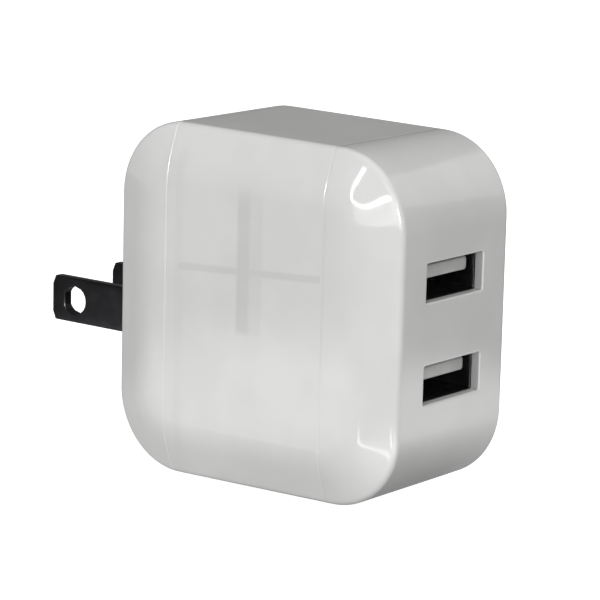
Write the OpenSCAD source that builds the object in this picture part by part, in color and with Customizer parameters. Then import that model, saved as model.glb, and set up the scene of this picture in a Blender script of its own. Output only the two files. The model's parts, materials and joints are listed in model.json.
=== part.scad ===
// Two-port USB wall charger with folding flat prongs, in millimetres.
// Origin: middle of the flat wall face. +Y points into the wall, -Y is the
// USB face, +Z is up and X runs across the thickness.

/* [Casing] */
// Depth of the casing from the USB face to the wall face
casing_depth = 47; // [42:0.5:58]
// Height of the casing at the wall face
casing_height = 48; // [44:0.5:60]
// Thickness of the casing along its outline edge
edge_thickness = 23.6; // [22.5:0.1:30]
// How far each broad face stands proud of the outline edge
crown = 2.2; // [1:0.1:4]
// Width of the sloping band round each broad face
crown_band = 6; // [3:0.1:7.5]
// Radius of the four outline corners
corner_radius = 10.5; // [9.5:0.1:14]
// Narrowing of the outline towards the USB face, in degrees a side
mould_draft = 0.85; // [0:0.05:2]
// Thickness of the casing walls
wall = 1.8; // [1.4:0.05:2.2]
// Depth of the front cap, from the USB face to the front seam
front_cap_depth = 11.2; // [8:0.1:12.5]
// Depth of the rear housing, from the wall face to the rear seam
rear_housing_depth = 9.7; // [8:0.1:12]
// How far the lips of the end shells reach into the sleeve
lip_length = 1.6; // [1:0.1:2]
// Gap round each lip
lip_clearance = 0.1; // [0.05:0.05:0.2]
// Height of the stiffening ribs inside the sleeve
rib_height = 0.5; // [0.3:0.1:0.8]
// Width of the long level rib
level_rib_width = 0.8; // [0.5:0.1:1.5]
// Width of the short upright rib
upright_rib_width = 3.5; // [2:0.1:5]
// Length of the short upright rib
upright_rib_length = 19.5; // [12:0.5:24]

/* [USB ports] */
// Width of each port opening in the front cap
port_width = 12.7; // [12.5:0.05:13.2]
// Height of each port opening in the front cap
port_height = 5.2; // [5:0.05:5.7]
// Distance between the two ports
port_pitch = 13.5; // [9:0.1:17]
// How far the middle of the pair lies below mid-height
port_drop = 0.25; // [0:0.05:1]
// Thickness of the front wall round the ports
port_wall = 1.3; // [1:0.05:1.6]
// Inside width of the receptacle shell
receptacle_width = 12.5; // [12.3:0.05:12.7]
// Inside height of the receptacle shell
receptacle_height = 5.12; // [5:0.01:5.3]
// Thickness of the receptacle's sheet metal
receptacle_metal = 0.3; // [0.2:0.05:0.4]
// Length of the receptacle shell
receptacle_length = 11.4; // [10:0.1:13]
// Length of the solid insulator block at the receptacle's rear
insulator_length = 1.8; // [1.5:0.1:2.5]
// Width of the tongue
tongue_width = 11.1; // [11:0.05:11.2]
// Thickness of the tongue
tongue_thickness = 1.84; // [1.7:0.02:1.9]
// Height of the tongue's lower face above the middle of its port
tongue_rise = 0.06; // [0:0.02:0.2]
// How far the tongue stops short of the shell's front edge
tongue_setback = 0.8; // [0.2:0.1:2]
// How far the contact strips stop short of the tongue's nose
contact_setback = 1; // [0.8:0.1:2]
// Gap between the receptacle and the front wall
receptacle_gap = 0.1; // [0.05:0.05:0.3]

/* [Prongs] */
// Width of a prong
prong_width = 6.35; // [6:0.05:7]
// Thickness of a prong
prong_thickness = 1.52; // [1.4:0.01:1.7]
// How far a prong stands out of the wall face
prong_reach = 16.8; // [15.8:0.1:18.2]
// Distance between the middles of the two prongs
prong_pitch = 12.7; // [12.4:0.05:13]
// Diameter of the hole near each tip
prong_hole = 4; // [3.6:0.1:4.3]
// Distance from the tip to the middle of its hole
prong_hole_setback = 4.1; // [3.6:0.1:5]
// Height of the chamfer on each tip corner
tip_chamfer = 1.2; // [0.5:0.1:2]
// Length of the chamfer on each tip corner
tip_chamfer_length = 0.5; // [0.3:0.1:1]
// How far the prong pivot lies below mid-height
prong_drop = 4.2; // [3:0.1:5.5]
// How deep the prong pivot lies behind the wall face
pivot_depth = 4; // [3.8:0.1:5]

/* [Prong mechanism] */
// Radius of the moulded spindle that carries both prongs
spindle_radius = 1.8; // [1.5:0.05:2]
// Radius of the spindle core that passes through the prongs
spindle_core_radius = 1.1; // [0.8:0.05:1.3]
// Length of the spindle
spindle_length = 17.6; // [17:0.1:18.4]
// Half-width across the flats of the spindle's cam
cam_half_width = 1.6; // [1.3:0.05:1.7]
// Length of the cam
cam_length = 4.4; // [3:0.1:5]
// Radial gap between the spindle and its bearing
spindle_clearance = 0.06; // [0.02:0.01:0.1]
// Gap on each side of a prong in its slot
slot_gap = 0.4; // [0.3:0.05:0.6]
// Gap above and below a prong in its slot
slot_end_gap = 0.35; // [0.3:0.05:0.6]
// Half-width of the cradle block round the prongs
cradle_half_width = 9.8; // [9.5:0.1:10]
// Wall of the cradle beyond the ends of the slots
cradle_wall = 1.4; // [1:0.1:2]
// Thickness of the retainer behind the prongs
retainer_back = 1.4; // [1:0.1:2]
// Radius of the finger scoop
scoop_radius = 7; // [6:0.1:9]
// Depth of the finger scoop
scoop_depth = 1.9; // [1:0.1:2.2]
// Thickness of the spring strip
strip_thickness = 0.3; // [0.2:0.05:0.4]
// Width of the contact strips
contact_width = 1.4; // [1:0.1:1.8]
// Gap between a contact strip and the prong hub
contact_gap = 0.1; // [0.05:0.05:0.2]
// Radius of the mains wires over their insulation
wire_radius = 0.7; // [0.5:0.05:0.9]

/* [Boards] */
// Thickness of the main board
main_board_thickness = 1.6; // [1:0.1:2]
// Height of the main board
main_board_height = 39; // [36:0.5:40]
// Distance from the middle of the casing to the main board's component side
main_board_offset = 8.2; // [7.8:0.1:8.2]
// Thickness of the port board
port_board_thickness = 1.2; // [0.8:0.1:1.6]
// Height of the port board
port_board_height = 38; // [30:0.5:39]
// Width of the port board
port_board_width = 19; // [16:0.5:19.5]
// Thickness of the insulation sheet
sheet_thickness = 0.4; // [0.2:0.05:0.5]
// Gap between boards and the pieces behind them
board_gap = 0.35; // [0.2:0.05:0.6]

/* [Transformer] */
// Height of the ferrite core above its seat
core_width = 12; // [11:0.1:12.4]
// Length of the two core halves together
core_length = 16; // [14:0.1:17]
// Thickness of the core
core_thickness = 5; // [4:0.1:6]
// Width of each outer leg and back of the core
core_leg = 2.2; // [1.8:0.1:2.6]
// Width of the centre leg
core_centre = 3.6; // [3:0.1:4.2]
// Wall of the bobbin
bobbin_wall = 0.6; // [0.4:0.05:0.8]
// Height of the bobbin's foot under the core
bobbin_foot = 1.6; // [1:0.1:2]

/* [Capacitors] */
// Diameter of each high-voltage capacitor
input_cap_diameter = 8; // [6.3:0.1:8.4]
// Length of each high-voltage capacitor
input_cap_length = 12.5; // [10:0.1:13]
// Diameter of each output capacitor
output_cap_diameter = 6.3; // [5:0.1:6.6]
// Length of each output capacitor
output_cap_length = 11; // [8:0.1:13]
// Diameter of the safety capacitor's disc
safety_cap_diameter = 7; // [5:0.1:8]
// Thickness of the safety capacitor's disc
safety_cap_thickness = 3; // [2:0.1:4]

/* [Hidden] */
$fn = 64;

over = 1;                 // how far a cutting shape runs past what it cuts
hull_fn = 32;             // facets of the posts that a hull blends
lead_radius = 0.35;       // wire leads of small parts
link_radius = 0.3;        // pins between the two boards
link_pitch = 2.2;
link_z = 14;
link_step = 1.6;          // from the main board's front edge back to the pins
link_rise = 1.2;          // from the main board up to the pins
stand_off = 0.3;          // small parts over the board
seat_depth = 0.5;         // leads inside a part that stands on them
finger_length = 5.4;      // from the slots' upper end down to the middle of the scoop
scoop_margin = 1.4;       // scoop beyond the outer sides of the slots
tail_reach = 1;           // contact strips past the retainer
wire_spacing = 3.2;       // height between the two mains wires
ledge_height = 1;
ledge_length = 4;
pocket_margin = 1.4;      // pocket behind the ports beyond the receptacle's inside
rectifier_size = [2.4, 4.6, 5.2];
controller_size = [1.5, 3.9, 4.9];
optocoupler_size = [3.4, 4.2, 4.4];
fuse_diameter = 3;
diode_diameter = 2.4;
axial_length = 5.2;       // bodies of the fuse resistor and the diode
lead_bend = 0.9;          // their leads past the body
choke_radius = 3;
choke_height = 7;
rear_row_step = 4.7;      // from the main board's rear edge to the rear row
second_row_step = 5.1;    // from the rear row to the second row
diode_step = 4.1;         // from the second row to the diode
output_margin = 1.2;      // output capacitors behind the main board's front edge

half_thickness = edge_thickness / 2 + crown;
front_seam = front_cap_depth - casing_depth;
rear_seam = -rear_housing_depth;
rear_post = [-corner_radius, casing_height / 2 - corner_radius];
post_span = casing_depth - 2 * corner_radius;
front_post = [rear_post.x - post_span, rear_post.y - post_span * tan(mould_draft)];
rebate_inset = wall / 2;
lip_inset = rebate_inset + lip_clearance;
upper_port = port_pitch / 2 - port_drop;
lower_port = -port_pitch / 2 - port_drop;

pivot_y = -pivot_depth;
pivot_z = -prong_drop;
hub_radius = prong_width / 2;
prong_x = prong_pitch / 2;
prong_length = pivot_depth + prong_reach;
slot_width = prong_thickness + 2 * slot_gap;
slot_low = pivot_z - hub_radius - slot_end_gap;
slot_high = pivot_z + prong_length + slot_end_gap;
chamber_y = pivot_y - hub_radius - slot_end_gap;
cradle_low = slot_low - cradle_wall;
cradle_high = slot_high + cradle_wall;
retainer_roof = rear_post.y - lip_clearance
    + sqrt(pow(corner_radius - wall, 2) - pow(pivot_y - rear_post.x, 2));
retainer_high = min(cradle_high, retainer_roof);
strip_y = pivot_y - hub_radius - contact_gap - strip_thickness;
retainer_y = strip_y - slot_end_gap - retainer_back;
detent_y = pivot_y - spindle_radius - strip_thickness - spindle_clearance;
detent_floor_y = detent_y - 2 * strip_thickness;
detent_half_height = 5;
scoop_z = slot_high - finger_length;
scoop_half_length = prong_x + slot_width / 2 + scoop_margin;
tail_z = pivot_z - hub_radius + strip_thickness;
tail_end_y = retainer_y - tail_reach;

receptacle_y = -casing_depth + port_wall + receptacle_gap;
port_board_y = receptacle_y + receptacle_length;
main_board_front = port_board_y + port_board_thickness + board_gap;
main_board_rear = retainer_y - board_gap;
seat_x = main_board_offset;
wire_y = tail_end_y - wire_radius;
left_wire_z = tail_z - wire_spacing;

// Places of the parts on the main board, as [Y, Z]. The mains side stands in a rear row, the
// transformer and the low-voltage side in front of it. Along each row the free room is shared
// out evenly between the parts.
board_top = main_board_height / 2;
axial_span = axial_length + 2 * (lead_bend + lead_radius);
rear_row = main_board_rear - rear_row_step;
second_row = rear_row - second_row_step;
link_y = main_board_front + link_step;
output_row = main_board_front + output_margin + output_cap_diameter / 2;

input_gap = (main_board_rear - link_y - link_radius - 2 * input_cap_diameter) / 3;
input_rear_y = main_board_rear - input_gap - input_cap_diameter / 2;
input_front_y = input_rear_y - input_gap - input_cap_diameter;

rear_gap = (main_board_height - input_cap_diameter - 2 * choke_radius - rectifier_size.z
    - axial_span - safety_cap_diameter) / 6;
input_rear_place = [input_rear_y, board_top - rear_gap - input_cap_diameter / 2];
choke_place = [rear_row,
    input_rear_place.y - input_cap_diameter / 2 - rear_gap - choke_radius];
rectifier_place = [rear_row, choke_place.y - choke_radius - rear_gap - rectifier_size.z / 2];
fuse_place = [rear_row, rectifier_place.y - rectifier_size.z / 2 - rear_gap - axial_span / 2];
safety_place = [rear_row, fuse_place.y - axial_span / 2 - rear_gap - safety_cap_diameter / 2];

front_gap = (main_board_height - input_cap_diameter - core_length
    - 2 * output_cap_diameter) / 5;
input_front_place = [input_front_y, board_top - front_gap - input_cap_diameter / 2];
transformer_place = [input_front_y,
    input_front_place.y - input_cap_diameter / 2 - front_gap - core_length / 2];
under_core_z = transformer_place.y - core_length / 2;
output_upper_place = [output_row, under_core_z - front_gap - output_cap_diameter / 2];
output_lower_place = [output_row, output_upper_place.y - output_cap_diameter - front_gap];

chip_gap = (under_core_z + board_top - controller_size.z - optocoupler_size.z) / 3;
controller_place = [second_row, under_core_z - chip_gap - controller_size.z / 2];
optocoupler_place = [second_row,
    controller_place.y - controller_size.z / 2 - chip_gap - optocoupler_size.z / 2];
diode_place = [second_row - diode_step, under_core_z - chip_gap - axial_span / 2];

core_x = seat_x - bobbin_foot - core_width / 2;
bobbin_gap = 0.1;         // bobbin from the core
bobbin_length = core_length - 2 * core_leg - 2 * bobbin_gap;
flange_x = core_width / 2 - core_leg - bobbin_gap;
flange_y = core_thickness / 2 + 2.2;

// ---------- shared shapes ----------

// A flat outline in Y and Z, thickened along X from x
module plate_x(x, thickness) {
    translate([x, 0, 0]) rotate([90, 0, 90]) linear_extrude(thickness) children();
}

// A rod along X between two X positions
module rod_x(x0, x1, y, z, r) {
    translate([x0, y, z]) rotate([0, 90, 0]) cylinder(h = x1 - x0, r = r);
}

// A rod along Z
module rod_z(x, y, z0, z1, r) {
    translate([x, y, z0]) cylinder(h = z1 - z0, r = r);
}

// A box given by its ranges in X, Y and Z
module span_box(x, y, z) {
    translate([x[0], y[0], z[0]]) cube([x[1] - x[0], y[1] - y[0], z[1] - z[0]]);
}

// Everything between two planes across the depth
module slice(y0, y1) {
    span_box([-2 * edge_thickness, 2 * edge_thickness], [y0, y1],
        [-2 * casing_height, 2 * casing_height]);
}

// One corner post of the casing, lying along X
module post(place, side, half_length, r) {
    translate([-half_length, place.x, side * place.y]) rotate([0, 90, 0])
        cylinder(h = 2 * half_length, r = r, $fn = hull_fn);
}

// The casing's outer form, shrunk by inset
module form(inset) {
    hull() for (place = [rear_post, front_post], side = [-1, 1]) {
        post(place, side, edge_thickness / 2 - inset, corner_radius - inset);
        post(place, side, half_thickness - inset, corner_radius - crown_band - inset);
    }
}

// ---------- casing ----------

module port_opening(z) {
    span_box([-port_width / 2, port_width / 2],
        [-casing_depth - over, front_seam],
        [z - port_height / 2, z + port_height / 2]);
}

// Ledge that steadies a receptacle shell behind the front wall
module port_ledge(z) {
    shell_half = receptacle_width / 2 + receptacle_metal;
    shell_top = receptacle_height / 2 + receptacle_metal;
    middle = shell_top + receptacle_gap + ledge_height / 2;
    for (side = [-1, 1])
        translate([-shell_half, -casing_depth + port_wall, z + side * middle - ledge_height / 2])
            cube([2 * shell_half, ledge_length, ledge_height]);
}

module front_cap() {
    pocket_half_width = receptacle_width / 2 + pocket_margin;
    pocket_half_height = port_pitch / 2 + port_height;
    color("whitesmoke") difference() {
        union() {
            difference() {
                union() {
                    intersection() {
                        form(0);
                        slice(-casing_depth - over, front_seam);
                    }
                    intersection() {
                        form(lip_inset);
                        slice(front_seam - over, front_seam + lip_length);
                    }
                }
                form(wall);
                span_box([-pocket_half_width, pocket_half_width],
                    [-casing_depth + port_wall, front_seam],
                    [-pocket_half_height - port_drop, pocket_half_height - port_drop]);
            }
            port_ledge(upper_port);
            port_ledge(lower_port);
        }
        port_opening(upper_port);
        port_opening(lower_port);
    }
}

// Crossed stiffening ribs on the inside of one broad wall
module sleeve_ribs() {
    x = half_thickness - wall - rib_height;
    level_z = 5.8;
    upright_y = -23.4;
    upright_top = 17;
    rib_x = [x, x + rib_height + wall / 2];
    span_box(rib_x, [front_seam + lip_length + over, rear_seam - lip_length - over],
        [level_z - level_rib_width / 2, level_z + level_rib_width / 2]);
    span_box(rib_x, [upright_y - upright_rib_width / 2, upright_y + upright_rib_width / 2],
        [upright_top - upright_rib_length, upright_top]);
}

// Grooved rails on the roof and floor that hold the main board's edges
module board_rails() {
    grip = 0.5;
    slack = 0.1;
    lip = 0.8;
    edge = main_board_height / 2;
    middle = second_row + 1;
    half_length = 4;
    difference() {
        intersection() {
            form(wall / 2);
            union() for (side = [-1, 1])
                span_box([seat_x - slack - lip, seat_x + main_board_thickness + slack + lip],
                    [middle - half_length, middle + half_length],
                    side > 0 ? [edge - grip, casing_height] : [-casing_height, grip - edge]);
        }
        span_box([seat_x - slack, seat_x + main_board_thickness + slack],
            [middle - half_length - over, middle + half_length + over],
            [-edge - slack, edge + slack]);
    }
}

module centre_sleeve() {
    reach = lip_length + lip_clearance;
    color("white") union() {
        board_rails();
        difference() {
            intersection() {
                form(0);
                slice(front_seam, rear_seam);
            }
            form(wall);
            intersection() {
                form(rebate_inset);
                union() {
                    slice(front_seam - over, front_seam + reach);
                    slice(rear_seam - reach, rear_seam + over);
                }
            }
        }
        sleeve_ribs();
        mirror([1, 0, 0]) sleeve_ribs();
    }
}

// Room for the prongs, their spindle and the finger scoop
module prong_space() {
    for (side = [-1, 1])
        span_box([side * prong_x - slot_width / 2, side * prong_x + slot_width / 2],
            [chamber_y, over], [slot_low, slot_high]);
    rod_x(-spindle_length / 2 - slot_gap, spindle_length / 2 + slot_gap,
        pivot_y, pivot_z, spindle_radius + spindle_clearance);
    rod_x(-scoop_half_length, scoop_half_length,
        scoop_radius - scoop_depth, scoop_z, scoop_radius);
}

module rear_housing() {
    color("whitesmoke") difference() {
        union() {
            difference() {
                union() {
                    intersection() {
                        form(0);
                        slice(rear_seam, over);
                    }
                    intersection() {
                        form(lip_inset);
                        slice(rear_seam - lip_length, rear_seam + over);
                    }
                }
                form(wall);
            }
            intersection() {
                form(wall / 2);
                span_box([-cradle_half_width, cradle_half_width], [pivot_y, over],
                    [cradle_low, cradle_high]);
            }
        }
        prong_space();
    }
}

// ---------- prongs and their mechanism ----------

// Side view of one prong, pivot at the left end and tip at the right
module prong_outline() {
    tip = prong_reach;
    half = hub_radius;
    difference() {
        union() {
            translate([pivot_y, pivot_z]) circle(r = hub_radius);
            polygon([
                [pivot_y, pivot_z - half],
                [tip - tip_chamfer_length, pivot_z - half],
                [tip, pivot_z - half + tip_chamfer],
                [tip, pivot_z + half - tip_chamfer],
                [tip - tip_chamfer_length, pivot_z + half],
                [pivot_y, pivot_z + half]
            ]);
        }
        translate([tip - prong_hole_setback, pivot_z]) circle(d = prong_hole);
        translate([pivot_y, pivot_z]) circle(r = spindle_core_radius);
    }
}

module prong(side) {
    color([0.2, 0.2, 0.21]) plate_x(side * prong_x - prong_thickness / 2, prong_thickness)
        prong_outline();
}

module prong_left() { prong(-1); }
module prong_right() { prong(1); }

// Moulded spindle: outer journals, a core through both prongs, and a cam
module prong_spindle() {
    inner = prong_x - prong_thickness / 2;
    outer = prong_x + prong_thickness / 2;
    half = spindle_length / 2;
    color("dimgray") union() {
        rod_x(-half, -outer, pivot_y, pivot_z, spindle_radius);
        rod_x(outer, half, pivot_y, pivot_z, spindle_radius);
        rod_x(-half, half, pivot_y, pivot_z, spindle_core_radius);
        difference() {
            rod_x(-inner, inner, pivot_y, pivot_z, spindle_radius);
            for (turn = [0:90:270])
                translate([-cam_length / 2, pivot_y, pivot_z]) rotate([turn, 0, 0])
                    translate([0, cam_half_width, -2 * spindle_radius])
                        cube([cam_length, spindle_radius, 4 * spindle_radius]);
        }
    }
}

module contact_pocket(side) {
    x = side * prong_x;
    half = contact_width / 2 + slot_gap;
    span_box([x - half, x + half], [strip_y, chamber_y + over],
        [slot_low, pivot_z + hub_radius]);
    span_box([x - half, x + half], [retainer_y - over, strip_y + over],
        [slot_low, tail_z + slot_end_gap]);
}

module prong_retainer() {
    side_gap = 0.2;
    detent_half = cam_length / 2 + side_gap;
    void_half = prong_x - slot_width / 2 - cradle_wall;
    color("gainsboro") difference() {
        span_box([-cradle_half_width, cradle_half_width], [retainer_y, pivot_y],
            [cradle_low, retainer_high]);
        prong_space();
        for (side = [-1, 1]) contact_pocket(side);
        span_box([-detent_half, detent_half], [detent_floor_y, pivot_y + over],
            [pivot_z - detent_half_height - side_gap, pivot_z + detent_half_height + side_gap]);
        span_box([-void_half, void_half], [retainer_y - over, pivot_y - cradle_wall],
            [pivot_z + detent_half_height + 2 * cradle_wall, retainer_high - cradle_wall]);
    }
}

// Flat strip behind the cam, with its ends turned back
module detent_spring() {
    half = cam_length / 2;
    color("silver") union() {
        low = pivot_z - detent_half_height;
        high = pivot_z + detent_half_height;
        span_box([-half, half], [detent_y, detent_y + strip_thickness], [low, high]);
        for (z = [low, high - strip_thickness])
            span_box([-half, half], [detent_floor_y, detent_y + strip_thickness],
                [z, z + strip_thickness]);
    }
}

module contact_spring(side) {
    x = side * prong_x;
    half = contact_width / 2;
    color("darkgoldenrod") union() {
        span_box([x - half, x + half], [strip_y, strip_y + strip_thickness],
            [tail_z - strip_thickness, pivot_z + hub_radius / 2]);
        span_box([x - half, x + half], [tail_end_y, strip_y + strip_thickness],
            [tail_z - strip_thickness, tail_z]);
    }
}

module contact_spring_left() { contact_spring(-1); }
module contact_spring_right() { contact_spring(1); }

module mains_wire_left() {
    top_z = tail_z - strip_thickness / 2;
    color("black") union() {
        translate([-prong_x, wire_y, top_z]) sphere(r = wire_radius);
        rod_z(-prong_x, wire_y, left_wire_z, top_z, wire_radius);
        translate([-prong_x, wire_y, left_wire_z]) sphere(r = wire_radius);
        rod_x(-prong_x, seat_x, wire_y, left_wire_z, wire_radius);
    }
}

module mains_wire_right() {
    color("red") rod_x(prong_x - wire_radius, seat_x, wire_y,
        tail_z - strip_thickness / 2, wire_radius);
}

// ---------- main board and its parts ----------

module main_board() {
    half = main_board_height / 2;
    color("darkolivegreen") span_box([seat_x, seat_x + main_board_thickness],
        [main_board_front, main_board_rear], [-half, half]);
}

module insulation_sheet() {
    half = main_board_height / 2 - 1;
    x = seat_x + main_board_thickness + board_gap;
    color("ivory") span_box([x, x + sheet_thickness],
        [main_board_front + 1, main_board_rear - 1], [-half, half]);
}

// Radial capacitor standing on the main board
module can(place, diameter, length, tint) {
    groove = 0.25;
    neck = 1.2;
    lead_offset = diameter / 4;
    color(tint) union() {
        rod_x(seat_x - length, seat_x - 2 * neck, place.x, place.y, diameter / 2);
        rod_x(seat_x - 2 * neck, seat_x - neck, place.x, place.y, diameter / 2 - groove);
        rod_x(seat_x - neck, seat_x - stand_off, place.x, place.y, diameter / 2);
        for (side = [-1, 1])
            rod_x(seat_x - seat_depth, seat_x, place.x, place.y + side * lead_offset, lead_radius);
    }
}

module input_capacitor_rear() {
    can(input_rear_place, input_cap_diameter, input_cap_length, "dimgray");
}
module input_capacitor_front() {
    can(input_front_place, input_cap_diameter, input_cap_length, "dimgray");
}
module output_capacitor_upper() {
    can(output_upper_place, output_cap_diameter, output_cap_length, "darkgreen");
}
module output_capacitor_lower() {
    can(output_lower_place, output_cap_diameter, output_cap_length, "darkgreen");
}

// Moulded body with a row of leads on each long side
module chip(place, size, pitch, count, tint) {
    lead_width = 0.4;
    lead_length = 0.9;
    lead_root = 0.05;
    rise = stand_off + size.x / 2;
    color(tint) union() {
        span_box([seat_x - stand_off - size.x, seat_x - stand_off],
            [place.x - size.y / 2, place.x + size.y / 2],
            [place.y - size.z / 2, place.y + size.z / 2]);
        for (side = [-1, 1], i = [0:count - 1])
            translate([seat_x - rise,
                       place.x + side * (size.y / 2 + lead_length / 2 - lead_root) - lead_length / 2,
                       place.y + (i - (count - 1) / 2) * pitch - lead_width / 2])
                cube([rise, lead_length, lead_width]);
    }
}

module bridge_rectifier() { chip(rectifier_place, rectifier_size, 3.4, 2, "black"); }
module controller_chip() { chip(controller_place, controller_size, 1.27, 4, "black"); }
module optocoupler() { chip(optocoupler_place, optocoupler_size, 2.54, 2, "white"); }

// Axial part lying along Z with both leads bent down to the board
module axial(place, diameter, length, tint) {
    rise = diameter / 2 + stand_off;
    reach = length / 2 + lead_bend;
    color(tint) union() {
        rod_z(seat_x - rise, place.x, place.y - length / 2, place.y + length / 2, diameter / 2);
        rod_z(seat_x - rise, place.x, place.y - reach, place.y + reach, lead_radius);
        for (side = [-1, 1]) {
            translate([seat_x - rise, place.x, place.y + side * reach]) sphere(r = lead_radius);
            rod_x(seat_x - rise, seat_x, place.x, place.y + side * reach, lead_radius);
        }
    }
}

module fuse_resistor() { axial(fuse_place, fuse_diameter, axial_length, "tan"); }
module output_diode() { axial(diode_place, diode_diameter, axial_length, "black"); }

// Drum core with its winding
module filter_choke() {
    flange = 1;
    waist = 0.5;
    top_x = seat_x - choke_height;
    low_x = seat_x - stand_off;
    y = choke_place.x;
    z = choke_place.y;
    color("saddlebrown") union() {
        rod_x(top_x, top_x + flange, y, z, choke_radius);
        rod_x(top_x + flange / 2, low_x - flange / 2, y, z, choke_radius - waist);
        rod_x(low_x - flange, low_x, y, z, choke_radius);
        for (side = [-1, 1])
            rod_x(seat_x - seat_depth, seat_x, y, z + side * choke_radius / 2, lead_radius);
    }
}

// Ceramic disc standing on edge with two leads
module safety_capacitor() {
    rise = 0.8;
    half = safety_cap_thickness / 2;
    x = seat_x - safety_cap_diameter / 2 - rise;
    y = safety_place.x;
    z = safety_place.y;
    color("steelblue") union() {
        translate([x, y + half, z]) rotate([90, 0, 0])
            cylinder(h = safety_cap_thickness, d = safety_cap_diameter);
        for (side = [-1, 1])
            rod_x(x, seat_x, y, z + side * safety_cap_diameter / 3, lead_radius);
    }
}

// ---------- transformer ----------

// One E-shaped ferrite half, its legs pointing at the other half
module core_half(side) {
    tip = core_length / 2;
    inner = core_width / 2 - core_leg;
    y = transformer_place.x - core_thickness / 2;
    window = tip - core_leg;
    color("darkslategray") translate([core_x, y, transformer_place.y])
        difference() {
            span_box([-core_width / 2, core_width / 2], [0, core_thickness],
                side > 0 ? [0, tip] : [-tip, 0]);
            for (x0 = [-inner, core_centre / 2])
                span_box([x0, x0 + inner - core_centre / 2], [-over, core_thickness + over],
                    side > 0 ? [-over, window] : [-window, over]);
        }
}

module transformer_core_upper() { core_half(1); }
module transformer_core_lower() { core_half(-1); }

module transformer_bobbin() {
    cheek_gap = 0.6;
    slide = 0.05;
    tube_x = core_centre / 2 + bobbin_wall;
    tube_y = core_thickness / 2 + bobbin_wall;
    half = bobbin_length / 2;
    color("khaki") translate([core_x, transformer_place.x, transformer_place.y]) difference() {
        union() {
            span_box([-tube_x, tube_x], [-tube_y, tube_y], [-half, half]);
            for (z = [-half, half - bobbin_wall])
                span_box([-flange_x, flange_x], [-flange_y, flange_y], [z, z + bobbin_wall]);
            for (side = [-1, 1])
                span_box([-flange_x, core_width / 2 + bobbin_foot - stand_off],
                    side > 0 ? [tube_y + cheek_gap, flange_y] : [-flange_y, -tube_y - cheek_gap],
                    [-half, half]);
        }
        span_box([-core_centre / 2 - slide, core_centre / 2 + slide],
            [-core_thickness / 2 - slide, core_thickness / 2 + slide],
            [-half - over, half + over]);
    }
}

module transformer_winding() {
    tube_x = core_centre / 2 + bobbin_wall;
    tube_y = core_thickness / 2 + bobbin_wall;
    half = bobbin_length / 2 - bobbin_wall - bobbin_gap / 2;
    build_x = flange_x - 0.15;
    build_y = tube_y + 0.5;
    color("gold") translate([core_x, transformer_place.x, transformer_place.y]) difference() {
        span_box([-build_x, build_x], [-build_y, build_y], [-half, half]);
        span_box([-tube_x, tube_x], [-tube_y, tube_y], [-half - over, half + over]);
    }
}

// Two rows of pins under the bobbin
module transformer_pins() {
    pin_radius = 0.3;
    pin_pitch = 2.5;
    last_pin = 3;
    x0 = core_x + core_width / 2 + bobbin_foot - stand_off;
    y = flange_y - 0.5;
    color("silver") for (side = [-1, 1], i = [0:last_pin])
        rod_x(x0, seat_x, transformer_place.x + side * y,
            transformer_place.y + (i - last_pin / 2) * pin_pitch, pin_radius);
}

// ---------- ports ----------

module port_board() {
    half_width = port_board_width / 2;
    half_height = port_board_height / 2;
    color("darkolivegreen") span_box([-half_width, half_width],
        [port_board_y, port_board_y + port_board_thickness], [-half_height, half_height]);
}

// Bent pins that join the two boards
module board_link() {
    start = port_board_y + port_board_thickness;
    x = seat_x - link_rise;
    color("gold") for (i = [-2:2]) translate([0, 0, link_z + i * link_pitch]) union() {
        translate([x, start, 0]) rotate([-90, 0, 0])
            cylinder(h = link_y - start, r = link_radius);
        translate([x, link_y, 0]) sphere(r = link_radius);
        rod_x(x, seat_x, link_y, 0, link_radius);
    }
}

module port_chip() {
    x = -4.7;
    z = -13.5;
    half = 1.5;
    height = 1.1;
    y = port_board_y + port_board_thickness;
    color("black") span_box([x - half, x + half], [y, y + height], [z - half, z + half]);
}

module usb_shell(z) {
    x_out = receptacle_width / 2 + receptacle_metal;
    z_out = receptacle_height / 2 + receptacle_metal;
    x_in = receptacle_width / 2;
    z_in = receptacle_height / 2;
    y = [receptacle_y, receptacle_y + receptacle_length];
    color("silver") translate([0, 0, z]) difference() {
        span_box([-x_out, x_out], y, [-z_out, z_out]);
        span_box([-x_in, x_in], [y[0] - over, y[1] + over], [-z_in, z_in]);
    }
}

module usb_insulator(z) {
    rear = receptacle_y + receptacle_length;
    block = rear - insulator_length;
    fit = 0.05;
    x_in = receptacle_width / 2 - fit;
    z_in = receptacle_height / 2 - fit;
    color("white") translate([0, 0, z]) union() {
        span_box([-x_in, x_in], [block, rear], [-z_in, z_in]);
        span_box([-tongue_width / 2, tongue_width / 2],
            [receptacle_y + tongue_setback, block + over],
            [tongue_rise, tongue_rise + tongue_thickness]);
    }
}

// Four contact strips under the tongue, with tails behind the block
module usb_contacts(z) {
    strip = 0.2;
    half_width = 0.5;
    half_pitch = 1.16;
    y0 = receptacle_y + tongue_setback + contact_setback;
    y1 = receptacle_y + receptacle_length - insulator_length;
    color("gold") for (i = [-3, -1, 1, 3])
        translate([i * half_pitch, 0, z + tongue_rise - strip])
            span_box([-half_width, half_width], [y0, y1], [0, strip]);
}

module usb_shell_upper() { usb_shell(upper_port); }
module usb_shell_lower() { usb_shell(lower_port); }
module usb_insulator_upper() { usb_insulator(upper_port); }
module usb_insulator_lower() { usb_insulator(lower_port); }
module usb_contacts_upper() { usb_contacts(upper_port); }
module usb_contacts_lower() { usb_contacts(lower_port); }

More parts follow.
